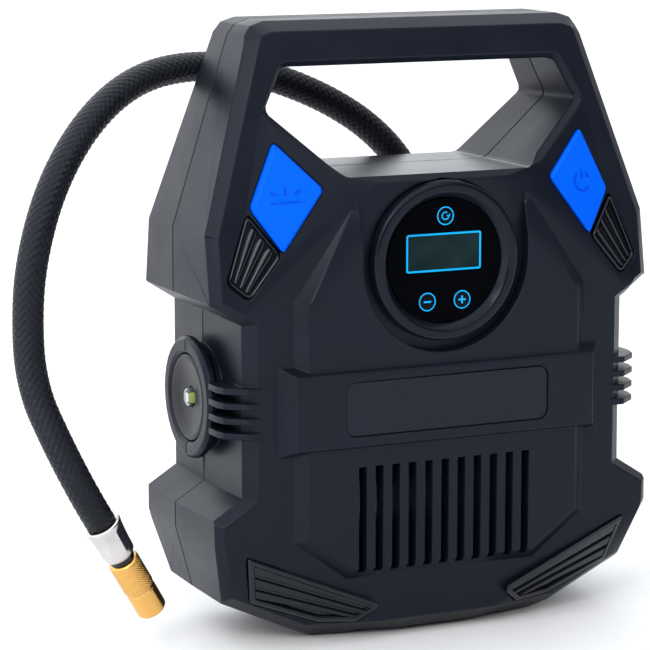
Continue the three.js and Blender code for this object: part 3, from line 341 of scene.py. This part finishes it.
def stroke(bm, points, width, height, lay, closed=False):
    """A raised bar along flat points; lay turns (x, z, lift) into a place on the surface."""
    count = len(points)
    sections = []
    for i, here in enumerate(points):
        before = points[i - 1] if closed or i > 0 else here
        after = points[(i + 1) % count] if closed or i < count - 1 else here
        along = (Vector(after) - Vector(before)).normalized()
        side = Vector((-along.y, along.x)) * width / 2
        here = Vector(here)
        corners = [
            (here + side, 0), (here + side * 0.8, height), (here - side * 0.8, height), (here - side, 0),
        ]
        sections.append([bm.verts.new(lay(p.x, p.y, lift)) for p, lift in corners])
    pairs = list(zip(sections, sections[1:])) + ([(sections[-1], sections[0])] if closed else [])
    for low, high in pairs:
        bridge(bm, low, high)
    if not closed:
        bm.faces.new(sections[0])
        bm.faces.new(list(reversed(sections[-1])))


def arc(x, z, radius, start, end, steps=32):
    """Flat points along an arc, in degrees; a full turn leaves out its last point."""
    full = abs(end - start) >= 360
    angles = [start + (end - start) * i / steps for i in range(steps if full else steps + 1)]
    turns = [math.radians(a) for a in angles]
    return [(x + radius * math.cos(t), z + radius * math.sin(t)) for t in turns]


def middle(node):
    low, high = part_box(node)
    return (Vector(low) + Vector(high)) / 2


def along(node, origin, axis):
    """Where a node starts and ends along an axis."""
    places = [(v.co - origin).dot(axis) for v in frame["nodes"][node].data.vertices]
    return min(places), max(places)


def front_face(node):
    """The middle and the normal of a node's largest face that looks forwards."""
    found = {}
    for face in frame["nodes"][node].data.polygons:
        if face.normal.y < -0.7 and face.area > 1e-7:
            key = tuple(round(n, 2) for n in face.normal)
            area = face.area
            total, center, normal = found.get(key, (0, Vector(), Vector()))
            found[key] = (total + area, center + face.center * area, normal + face.normal * area)
    total, center, normal = max(found.values(), key=lambda row: row[0])
    return center / total, normal.normalized()


# ---------------------------------------------------------------- hose

HOSE_POINTS_MM = [
    (32, 39.4, 118), (32, 39.4, 130), (31.2, 39.2, 142), (28.3, 38.4, 153.8), (22.8, 37, 165),
    (14.4, 35.4, 175.6), (2.5, 34, 186), (-12.5, 33, 195.2), (-28.5, 32.3, 202.4), (-44.5, 31.4, 207.6),
    (-61, 29.4, 210.6), (-77.5, 25.4, 211), (-93.5, 19, 208.8), (-108, 11.2, 203.6), (-121, 3.4, 195.4),
    (-132.4, -4, 184.6), (-141.8, -10.6, 171.8), (-148.8, -15.8, 157.2), (-153, -18.6, 141.6),
    (-154, -18.6, 125.6), (-153.9, -20.3, 111.2), (-152, -23, 99), (-148.4, -25.9, 88.4),
    (-144.2, -28, 78.2), (-139.4, -28.7, 68.2), (-135, -28.3, 60.1), (-130.9, -27, 53.3),
]
HOSE_POINTS = [Vector(p) * MM for p in HOSE_POINTS_MM]
HOSE_END = HOSE_POINTS[-1]
HOSE_AXIS = (HOSE_POINTS[-1] - HOSE_POINTS[-2]).normalized()
HOSE_DIAMETER = 11.4 * MM
BRAID_DEPTH = 0.55 * MM
BRAID_STRANDS = 12
HOSE_SIDES = 84
HOSE_STEP = 0.5 * MM
STRAND_ROUNDNESS = 0.6
STRAND_MIDDLE = 0.55
STRAND_SWING = 0.45


def span_point(p0, p1, p2, p3, t):
    """A point between p1 and p2 on the centripetal Catmull-Rom curve."""
    d0, d1, d2 = [max(1e-6, (b - a).length ** 0.5) for a, b in ((p0, p1), (p1, p2), (p2, p3))]
    start = ((p1 - p0) / d0 - (p2 - p0) / (d0 + d1) + (p2 - p1) / d1) * d1
    end = ((p2 - p1) / d1 - (p3 - p1) / (d1 + d2) + (p3 - p2) / d2) * d1
    return (
        p1 * (2 * t ** 3 - 3 * t ** 2 + 1) + start * (t ** 3 - 2 * t ** 2 + t)
        + p2 * (-2 * t ** 3 + 3 * t ** 2) + end * (t ** 3 - t ** 2)
    )


def hose_line():
    """Evenly spaced points down the middle of the hose."""
    first = HOSE_POINTS[0] * 2 - HOSE_POINTS[1]
    last = HOSE_POINTS[-1] * 2 - HOSE_POINTS[-2]
    points = [first, *HOSE_POINTS, last]
    fine = []
    for i in range(1, len(points) - 2):
        fine += [span_point(*points[i - 1:i + 3], k / 40) for k in range(40)]
    fine.append(HOSE_END)
    reached = [0.0]
    for a, b in zip(fine, fine[1:]):
        reached.append(reached[-1] + (b - a).length)
    count = round(reached[-1] / HOSE_STEP)
    line, k = [], 0
    for i in range(count + 1):
        goal = reached[-1] * i / count
        while k < len(reached) - 2 and reached[k + 1] < goal:
            k += 1
        share = (goal - reached[k]) / (reached[k + 1] - reached[k])
        line.append(fine[k].lerp(fine[k + 1], share))
    return line, reached[-1]


def braid_height(left, right):
    """Height, 0 to 1, of two families of strands that pass over and under each other."""
    over = 1 if (math.floor(left) + math.floor(right)) % 2 == 0 else -1
    across_left = math.sin(math.pi * (left % 1)) ** STRAND_ROUNDNESS
    across_right = math.sin(math.pi * (right % 1)) ** STRAND_ROUNDNESS
    up = STRAND_MIDDLE + STRAND_SWING * over * across_right
    down = STRAND_MIDDLE - STRAND_SWING * over * across_left
    return max(across_left * up, across_right * down)


def make_hose():
    line, length = hose_line()
    bm = bmesh.new()
    uv_layer = bm.loops.layers.uv.new("braid")
    tangent = (line[1] - line[0]).normalized()
    u, _ = across(tangent)
    pitch = math.pi * HOSE_DIAMETER / BRAID_STRANDS
    rings = []
    for i, here in enumerate(line):
        after, before = line[min(i + 1, len(line) - 1)], line[max(i - 1, 0)]
        tangent = (after - before).normalized()
        u = (u - tangent * u.dot(tangent)).normalized()
        v = tangent.cross(u)
        down = i * length / (len(line) - 1) / pitch
        ring = []
        for j in range(HOSE_SIDES):
            turn = j / HOSE_SIDES
            height = braid_height(BRAID_STRANDS * turn + down, BRAID_STRANDS * turn - down)
            radius = HOSE_DIAMETER / 2 - BRAID_DEPTH * (1 - height)
            ring.append(bm.verts.new(here + spoke(u, v, 2 * math.pi * turn) * radius))
        rings.append((ring, down))
    for (low, from_down), (high, to_down) in zip(rings, rings[1:]):
        for j in range(HOSE_SIDES):
            k = (j + 1) % HOSE_SIDES
            face = bm.faces.new((low[j], low[k], high[k], high[j]))
            turns = [j, j + 1, j + 1, j]
            downs = [from_down, from_down, to_down, to_down]
            for loop, turn, down in zip(face.loops, turns, downs):
                loop[uv_layer].uv = (BRAID_STRANDS * turn / HOSE_SIDES, down)
    bm.faces.new(list(reversed(rings[0][0])))
    bm.faces.new(rings[-1][0])
    hose = piece("braided_hose", bm, MATERIAL["braid"], "case", sharp=80)
    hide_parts("hose")
    return hose, line, length


FERRULE_FLATS = 8


def make_ferrule():
    """Plated sleeve: a round rim at each end and crimped flats with a groove between them."""
    start, end = along("hose_ferrule", HOSE_END, HOSE_AXIS)
    base, long = HOSE_END + HOSE_AXIS * start, end - start
    u, v = across(HOSE_AXIS)
    # radius in mm, share of the length, and how far the section is pressed towards a polygon
    plan = [
        (6.5, 0.0, 0), (7.0, 0.02, 0), (7.15, 0.06, 0), (7.1, 0.14, 0.2), (7.05, 0.2, 1), (6.7, 0.48, 1),
        (6.45, 0.76, 1), (6.3, 0.82, 0.2), (6.15, 0.86, 0), (6.1, 0.94, 0), (5.6, 1.0, 0),
    ]
    bm = bmesh.new()
    sides = FERRULE_FLATS * 12
    rings = [[bm.verts.new(base)]]
    for radius, share, press in plan:
        ring = []
        for j in range(sides):
            turn = 2 * math.pi * j / sides
            local = (turn * FERRULE_FLATS / (2 * math.pi)) % 1 - 0.5
            flat = math.cos(math.pi / FERRULE_FLATS) / math.cos(local * 2 * math.pi / FERRULE_FLATS)
            reach = radius * MM * (1 + (flat - 1) * press)
            ring.append(bm.verts.new(base + HOSE_AXIS * share * long + spoke(u, v, turn) * reach))
        rings.append(ring)
    rings.append([bm.verts.new(base + HOSE_AXIS * long)])
    for low, high in zip(rings, rings[1:]):
        bridge(bm, low, high)
    ferrule = piece("crimped_ferrule", bm, MATERIAL["zinc"], "case", sharp=26)
    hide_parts("hose_ferrule")
    return ferrule


def make_stem():
    start, end = along("chuck_stem", HOSE_END, HOSE_AXIS)
    profile = [(0, 0), (4.9 * MM, 0), (4.9 * MM, end - start), (0, end - start)]
    bm = lathe(rounded(profile, 0.3 * MM), HOSE_END + HOSE_AXIS * start, HOSE_AXIS, 64)
    stem = piece("chuck_neck", bm, MATERIAL["gloss_black"], "case")
    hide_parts("chuck_stem")
    return stem


KNURL_TEETH = 40
KNURL_DEPTH = 0.35 * MM
KNURL_SIDES = 240


def make_chuck():
    """Brass collar: diamond knurling on its upper part, a plain sleeve and a bore at its mouth."""
    start, end = along("chuck_collar", HOSE_END, HOSE_AXIS)
    base, long = HOSE_END + HOSE_AXIS * start, end - start
    u, v = across(HOSE_AXIS)
    outer, bore, deep = 5.95 * MM, 3.9 * MM, 11.6 * MM
    knurl_end = 0.54 * long
    step = 0.22 * MM
    rows = [(0.0, 0, 0), (outer - 0.9 * MM, 0, 0)]
    count = round((knurl_end - 0.9 * MM) / step)
    rows += [(outer, 0.7 * MM + i * step, 1) for i in range(count)]
    plain = [
        (outer - 0.55 * MM, knurl_end), (outer - 0.55 * MM, knurl_end + 0.9 * MM),
        (outer - 0.25 * MM, knurl_end + 1.2 * MM), (outer - 0.25 * MM, long - 1 * MM),
        (outer - 1 * MM, long), (bore + 0.4 * MM, long), (bore, long - 0.5 * MM), (bore, long - deep),
        (0, long - deep),
    ]
    rows += [(radius, height, 0) for radius, height in rounded(plain, 0.25 * MM)]
    tooth = 2 * math.pi * outer / KNURL_TEETH
    bm = bmesh.new()
    rings = []
    for radius, height, knurled in rows:
        center = base + HOSE_AXIS * height
        if radius == 0:
            rings.append([bm.verts.new(center)])
            continue
        ring = []
        for j in range(KNURL_SIDES):
            turn = j / KNURL_SIDES
            left = (KNURL_TEETH * turn + height / tooth) % 1
            right = (KNURL_TEETH * turn - height / tooth) % 1
            cut = KNURL_DEPTH * max(abs(left - 0.5), abs(right - 0.5)) * 2 * knurled
            ring.append(bm.verts.new(center + spoke(u, v, 2 * math.pi * turn) * (radius - cut)))
        rings.append(ring)
    for low, high in zip(rings, rings[1:]):
        bridge(bm, low, high)
    chuck = piece("knurled_chuck", bm, MATERIAL["brass"], "chuck", sharp=50)
    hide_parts("chuck_collar")
    return chuck


make_camera()
hose, hose_path, hose_length = make_hose()
hose_pieces = [make_ferrule(), make_stem(), make_chuck()]


# ---------------------------------------------------------------- moulded edges on the CAD nodes

EDGE_WIDTH = {
    "upper_left_insert": 0.25, "upper_right_insert": 0.25, "lower_left_grille": 0.3,
    "lower_right_grille": 0.3, "name_plate": 0.15, "display_lens": 0.12, "lcd_module": 0.1,
}
DEFAULT_EDGE = 0.2


def shade_evenly(obj):
    """Lets the large flats set the shading of the small radii beside them."""
    even = obj.modifiers.new("even", "WEIGHTED_NORMAL")
    even.keep_sharp = True
    even.weight = NORMAL_WEIGHT


def mould_edges(node, width):
    """Rounds a node's sharp edges and shades its flats and curves evenly."""
    obj = frame["nodes"][node]
    for polygon in obj.data.polygons:
        polygon.use_smooth = True
    weld = obj.modifiers.new("weld", "WELD")
    weld.merge_threshold = WELD
    flat = obj.modifiers.new("flat", "DECIMATE")
    flat.decimate_type = "DISSOLVE"
    flat.angle_limit = math.radians(0.6)
    bevel = obj.modifiers.new("bevel", "BEVEL")
    bevel.width = width * MM
    bevel.segments = BEVEL_SEGMENTS
    bevel.limit_method = "ANGLE"
    bevel.angle_limit = SHARP_EDGE
    bevel.use_clamp_overlap = False
    bevel.miter_outer = "MITER_ARC"
    shade_evenly(obj)


EDGE_ATTEMPTS = 14
SHORTEST_EDGE = 1.3 * MM
# an edge is open when a ray this long, started this far out, meets nothing
OPEN_START = 0.05 * MM
OPEN_REACH = 0.12
SPOT_CLEARANCE = 0.6 * MM
# faces with this many corners are searched for crossings instead of being given up whole
LARGE_FACE = 7


def open_edges(bm, skin):
    """Numbers of the long sharp edges that face out of the shell."""
    found = []
    for edge in bm.edges:
        if not edge.is_manifold or edge.calc_length() < SHORTEST_EDGE:
            continue
        if edge.calc_face_angle() < SHARP_EDGE:
            continue
        outward = (edge.link_faces[0].normal + edge.link_faces[1].normal).normalized()
        start = (edge.verts[0].co + edge.verts[1].co) / 2 + outward * OPEN_START
        if skin.ray_cast(start, outward, OPEN_REACH)[0] is None:
            found.append(edge.index)
    return found


def edge_choice(bm, numbers, spots, clear):
    """The numbered edges, away from the spots where a radius did not fit."""
    chosen = []
    bm.edges.ensure_lookup_table()
    for edge in [bm.edges[number] for number in numbers]:
        a, b = edge.verts[0].co, edge.verts[1].co
        span = b - a
        shares = [max(0, min(1, (spot - a).dot(span) / span.length_squared)) for spot in spots]
        if all((a + span * share - spot).length > clear for spot, share in zip(spots, shares)):
            chosen.append(edge)
    return chosen


def self_crossings(face):
    """Where the outline of a flat face crosses itself."""
    drop = max(range(3), key=lambda k: abs(face.normal[k]))
    keep = [k for k in range(3) if k != drop]
    points = [vert.co for vert in face.verts]
    flat = [Vector((p[keep[0]], p[keep[1]])) for p in points]
    count, found = len(flat), []
    for i in range(count):
        for j in range(i + 2, count):
            if i == 0 and j == count - 1:
                continue
            hit = intersect_line_line_2d(flat[i], flat[(i + 1) % count], flat[j], flat[(j + 1) % count])
            if hit:
                found += [points[i].copy(), points[(i + 1) % count].copy(), points[j].copy()]
    return found


def strayed(bm, skin, limit):
    """Places where a rounded copy leaves the surface that it was made from."""
    faces = set()
    for corners in bm.calc_loop_triangles():
        points = [loop.vert.co for loop in corners]
        halfway = [(points[i] + points[i - 1]) / 2 for i in range(3)]
        probes = [*points, sum(points, Vector()) / 3, *halfway]
        if any(skin.find_nearest(probe)[3] > limit for probe in probes):
            faces.add(corners[0].face)
    spots = []
    for face in faces:
        outline = [vert.co.copy() for vert in face.verts]
        spots += outline if len(outline) < LARGE_FACE else self_crossings(face)
    return faces, spots


def softened_copy(node, name, width, material, body):
    """A copy of a node with small radii on its edges; where a radius strays, its edges stay sharp."""
    source = bmesh.new()
    source.from_mesh(frame["nodes"][node].data)
    bmesh.ops.remove_doubles(source, verts=source.verts[:], dist=WELD)
    skin = BVHTree.FromBMesh(source)
    bmesh.ops.dissolve_limit(
        source, angle_limit=math.radians(0.5), verts=source.verts[:], edges=source.edges[:],
    )
    source.normal_update()
    source.edges.index_update()
    numbers = open_edges(source, skin)
    spots = []
    for attempt in range(EDGE_ATTEMPTS):
        bm = source.copy()
        chosen = edge_choice(bm, numbers, spots, SPOT_CLEARANCE)
        bmesh.ops.bevel(
            bm, geom=chosen, offset=width, offset_type="OFFSET", segments=BEVEL_SEGMENTS, profile=0.5,
            affect="EDGES", clamp_overlap=False, miter_outer="ARC",
        )
        bm.normal_update()
        faces, found = strayed(bm, skin, 0.5 * width)
        if not found or attempt == EDGE_ATTEMPTS - 1:
            break
        spots += found
        bm.free()
    source.free()
    made = piece(name, bm, material, body, sharp=28)
    shade_evenly(made)
    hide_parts(node)
    return made


OPENING_BOTTOM = 174.4 * MM
LEDGE_DEPTH = 1.5 * MM


def paint_ledge_highlight(shell):
    """The upward faces at the bottom of the handle opening are smoother than the grained skin round them
    and carry a painted highlight: a much lighter colour.
    """
    shell.data.materials.append(LEDGE)
    for polygon in shell.data.polygons:
        if polygon.normal.z > 0.9 and abs(polygon.center.z - OPENING_BOTTOM) < LEDGE_DEPTH:
            polygon.material_index = 1


# node: name of its copy, edge radius in mm, material, body
SOFTENED = {
    "front_shell": ("moulded_front_shell", 0.5, MATERIAL["case"], "case"),
    "rear_shell": ("moulded_rear_shell", 0.5, REAR_CASE, "case"),
    "light_button": ("light_key_cap", 0.45, MATERIAL["blue"], "light_key"),
    "power_button": ("power_key_cap", 0.45, MATERIAL["blue"], "power_key"),
}
OWN_MATERIAL = {
    "unit_button": KEY_BLACK, "minus_button": KEY_BLACK, "plus_button": KEY_BLACK,
    "lower_left_grille": INSERT_BLACK, "lower_right_grille": INSERT_BLACK,
}
for row in frame["record"]["subparts"]:
    obj = frame["nodes"][row["node"]]
    obj.data.materials.clear()
    obj.data.materials.append(OWN_MATERIAL.get(row["node"], MATERIAL[row["material_slot"]]))
    if row["node"] in SOFTENED:
        name, width, material, body = SOFTENED[row["node"]]
        made = softened_copy(row["node"], name, width * MM, material, body)
        if body == "case":
            # the upward ledge of the handle opening gets its painted highlight
            paint_ledge_highlight(made)
    else:
        mould_edges(row["node"], EDGE_WIDTH.get(row["node"], DEFAULT_EDGE))


# ---------------------------------------------------------------- display

def make_bezel():
    low, high = [Vector(p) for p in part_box("display_bezel")]
    outer = (high.x - low.x) / 2
    depth = high.y - low.y
    glass_low, glass_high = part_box("display_lens")
    inner = (glass_high[0] - glass_low[0]) / 2 + GAP
    lip = inner + 2.3 * MM
    profile = [
        (inner, 0), (outer, 0), (outer, depth - 1.5 * MM), (outer - 0.5 * MM, depth - 0.4 * MM),
        (outer - 1.5 * MM, depth), (lip, depth), (inner, depth - 2.6 * MM),
    ]
    center = middle("display_bezel")
    base = Vector((center.x, high.y, center.z))
    bm = lathe(rounded(profile, 0.7 * MM, 5, closed=True), base, Vector((0, -1, 0)), 160, closed=True)
    bezel = piece("gauge_bezel", bm, BEZEL_BLACK, "case")
    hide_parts("display_bezel")


def on_front(y):
    """Lays flat points on a plane that faces forwards."""
    return lambda x, z, lift: Vector((x, y - lift, z))


def make_screen_frame():
    """Printed line round the display window."""
    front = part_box("lcd_module")[0][1]
    window = middle("lcd_module")
    half_x, half_z = 15.1 * MM, 6.8 * MM
    center_z = 145.4 * MM
    signs = ((1, 1), (-1, 1), (-1, -1), (1, -1))
    corners = [(window.x + sx * half_x, center_z + sz * half_z) for sx, sz in signs]
    outline = rounded(corners, 0.7 * MM, 5, closed=True)
    bm = bmesh.new()
    stroke(bm, [tuple(p) for p in outline], 0.75 * MM, 0.05 * MM, on_front(front), closed=True)
    piece("screen_frame", bm, CYAN, "case")


def make_button_marks():
    """Printed rings with a reset arrow, a minus and a plus."""
    ring, line, lift = 3.25 * MM, 0.45 * MM, 0.04 * MM
    for key in ("unit", "minus", "plus"):
        node, body = f"{key}_button", f"{key}_key"
        center = middle(node)
        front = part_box(node)[0][1]
        bm = bmesh.new()
        lay = on_front(front + 0.02 * MM)
        stroke(bm, arc(center.x, center.z, ring, 0, 360, 64), line, lift, lay, closed=True)
        bar = 1.5 * MM
        if node == "unit_button":
            small = 1.35 * MM
            stroke(bm, arc(center.x, center.z, small, 60, 350, 24), line, lift, lay)
            tip = Vector((center.x + small, center.z))
            stroke(bm, [tuple(tip + Vector((-0.75, 0.15)) * MM), tuple(tip + Vector((0.1, -0.25)) * MM)],
                   line, lift, lay)
            stroke(bm, [tuple(tip + Vector((0.1, -0.25)) * MM), tuple(tip + Vector((0.45, 0.65)) * MM)],
                   line, lift, lay)
        else:
            stroke(bm, [(center.x - bar, center.z), (center.x + bar, center.z)], line * 1.5, lift, lay)
        if node == "plus_button":
            upright = [(center.x, center.z - bar), (center.x, center.z + bar)]
            stroke(bm, upright, line * 1.5, lift * 1.2, lay)
        piece(f"{node}_mark", bm, CYAN, body)


def on_face(node):
    """Lays flat points round the middle of a slanting button face."""
    center, normal = front_face(node)
    right = Vector((1, 0, 0)) - normal * normal.x
    right.normalize()
    up = normal.cross(right)
    up = up if up.z > 0 else -up
    return lambda x, z, lift: center + right * x + up * z + normal * lift


def make_blue_marks():
    """Short rays over a thin line on the light button and a power sign on the other one."""
    line, lift = 0.75 * MM, 0.3 * MM
    lay = on_face("light_button")
    bm = bmesh.new()
    base = -1.6 * MM
    stroke(bm, [(-5.6 * MM, base), (5.6 * MM, base)], line * 0.6, lift, lay)
    for degrees, near, far in ((38, 4.2, 6.8), (90, 2.2, 5.6), (142, 4.2, 6.8)):
        ray = Vector((math.cos(math.radians(degrees)), math.sin(math.radians(degrees))))
        foot = Vector((0, base))
        stroke(bm, [tuple(foot + ray * near * MM), tuple(foot + ray * far * MM)], line, lift, lay)
    piece("light_mark", bm, BLUE_LINE, "light_key")
    lay = on_face("power_button")
    bm = bmesh.new()
    stroke(bm, arc(0, 0, 3.6 * MM, 125, 415, 40), line, lift, lay)
    stroke(bm, [(0, 1 * MM), (0, 4.6 * MM)], line, lift, lay)
    piece("power_mark", bm, BLUE_LINE, "power_key")


def rounded_bar(bm, points, widths, height, lay, closed=False):
    """A bar with a round back along flat points; its width changes from point to point."""
    count, sections = len(points), []
    for i, (here, width) in enumerate(zip(points, widths)):
        before = points[i - 1] if closed or i > 0 else here
        after = points[(i + 1) % count] if closed or i < count - 1 else here
        run = (after - before).normalized()
        side = Vector((-run.y, run.x)) * width / 2
        turns = [math.pi * k / 8 for k in range(9)]
        flat = [(here + side * math.cos(t), height * math.sin(t) ** 0.8) for t in turns]
        flat += [(here - side, -0.5 * MM), (here + side, -0.5 * MM)]
        sections.append([bm.verts.new(lay(p.x, p.y, lift)) for p, lift in flat])
    pairs = list(zip(sections, sections[1:])) + ([(sections[-1], sections[0])] if closed else [])
    for low, high in pairs:
        bridge(bm, low, high)
    if not closed:
        bm.faces.new(sections[0])
        bm.faces.new(list(reversed(sections[-1])))


def on_slope(center, normal, sink):
    """Lays flat points on a slanting plane, `sink` below it."""
    def lay(x, z, lift):
        y = center.y - (normal.x * (x - center.x) + normal.z * (z - center.z)) / normal.y
        return Vector((x, y, z)) + normal * (lift - sink)
    return lay


def make_insert(node):
    """Glossy inlay: a sunk floor, a raised rim and three ribs that narrow towards the bottom."""
    lay = on_slope(*front_face(node), 0.9 * MM)
    spots = [Vector((v.co.x, v.co.z)) for v in frame["nodes"][node].data.vertices]
    hull = [spots[i] for i in convex_hull_2d(spots)]
    hub = sum(hull, Vector((0, 0))) / len(hull)
    outline = [hub + (p - hub) * 0.985 for p in hull]
    bm = bmesh.new()
    top = [bm.verts.new(lay(p.x, p.y, 0)) for p in outline]
    low = [bm.verts.new(lay(p.x, p.y, -1.1 * MM)) for p in outline]
    bm.faces.new(top)
    bm.faces.new(list(reversed(low)))
    bridge(bm, low, top)
    floor = piece(f"{node}_floor", bm, INSERT_BLACK, "case")
    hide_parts(node)
    bm = bmesh.new()
    rim = [hub + (p - hub) * 0.93 for p in rounded(hull, 1.2 * MM, 3, closed=True)]
    rounded_bar(bm, rim, [1.1 * MM] * len(rim), 1.1 * MM, lay, closed=True)
    head, foot = max(hull, key=lambda p: p.y), min(hull, key=lambda p: p.y)
    inner, outer = min(hull, key=lambda p: abs(p.x)), max(hull, key=lambda p: abs(p.x))
    for share in (0.24, 0.5, 0.76):
        start = head.lerp(inner, share)
        end = outer.lerp(foot, share)
        start, end = start.lerp(end, 0.07), start.lerp(end, 0.93)
        line = [start.lerp(end, k / 10) for k in range(11)]
        widths = [(3.3 - 1.6 * k / 10) * MM * (0.7 if k in (0, 10) else 1) for k in range(11)]
        rounded_bar(bm, line, widths, 1.05 * MM, lay)
    piece(f"{node}_ribs", bm, INSERT_BLACK, "case")


make_insert("upper_left_insert")
make_insert("upper_right_insert")
make_bezel()
make_screen_frame()
make_button_marks()
make_blue_marks()


# ---------------------------------------------------------------- lamp and side cap

def make_lamp():
    low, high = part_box("lamp_reflector")
    outer, deep = (high[2] - low[2]) / 2, high[0] - low[0]
    hole = (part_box("lamp_lens")[1][2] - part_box("lamp_lens")[0][2]) / 2 + GAP
    base = Vector((low[0], 0, middle("lamp_reflector").z))
    profile = [
        (hole, -deep), (outer, -deep), (outer, -0.4 * MM), (outer - 1.4 * MM, 0), (9.4 * MM, -1.2 * MM),
        (hole + 1.2 * MM, -1.8 * MM), (hole, -1.8 * MM),
    ]
    bm = lathe(rounded(profile, 0.5 * MM, 4, closed=True), base, Vector((-1, 0, 0)), 128, closed=True)
    dish = piece("lamp_dish", bm, DISH_BLACK, "case")
    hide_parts("lamp_reflector")


make_lamp()


# ---------------------------------------------------------------- stage and light

def make_floor():
    bm = bmesh.new()
    bmesh.ops.create_circle(bm, cap_ends=True, segments=96, radius=14)
    mesh = bpy.data.meshes.new("floor")
    bm.to_mesh(mesh)
    bm.free()
    material, tree, shader = start_material("floor", (0.86, 0.86, 0.86), 0.6)
    place = add_node(tree, "ShaderNodeTexCoord").outputs["Object"]
    tree.links.new(mapped(tree, noise(tree, place, 30), 0.55, 0.65), shader.inputs["Roughness"])
    mesh.materials.append(material)
    floor = bpy.data.objects.new("floor", mesh)
    floor.location.z = -0.05 * MM
    bpy.context.scene.collection.objects.link(floor)


def make_area(name, place, aim, size, watts):
    data = bpy.data.lights.new(name, "AREA")
    data.shape = "RECTANGLE"
    data.size, data.size_y = size
    data.energy = watts
    lamp = bpy.data.objects.new(name, data)
    lamp.location = place
    lamp.rotation_euler = (Vector(aim) - Vector(place)).to_track_quat("-Z", "Y").to_euler()
    bpy.context.scene.collection.objects.link(lamp)


def make_world(toward, dim, bright):
    """A studio that is bright towards one side and falls off to the other."""
    world = bpy.data.worlds.new("studio")
    world.use_nodes = True
    tree = world.node_tree
    background = tree.nodes["Background"]
    background.inputs["Color"].default_value = (0.95, 0.97, 1, 1)
    direction = add_node(tree, "ShaderNodeTexCoord").outputs["Generated"]
    share = add_node(tree, "ShaderNodeVectorMath", operation="DOT_PRODUCT")
    share.inputs[1].default_value = Vector(toward).normalized()
    tree.links.new(direction, share.inputs[0])
    level = add_node(tree, "ShaderNodeMapRange", {
        "From Min": -0.5, "From Max": 0.95, "To Min": dim, "To Max": bright,
    }, interpolation_type="SMOOTHSTEP")
    tree.links.new(share.outputs["Value"], level.inputs["Value"])
    tree.links.new(level.outputs["Result"], background.inputs["Strength"])
    bpy.context.scene.world = world


def make_light():
    middle_height = (0, 0, 0.12)
    make_world((-0.35, 0.55, 0.75), 0.06, 2.0)
    make_area("front", (0.1, -1.5, 0.95), middle_height, (1.3, 0.5), 5)
    make_area("left", (-1.3, -0.6, 0.2), middle_height, (0.5, 1.1), 2.2)
    make_area("upper_left", (-0.9, -0.95, 1.0), middle_height, (0.6, 0.6), 7)


make_floor()
make_light()
bpy.context.scene.view_settings.view_transform = "Standard"
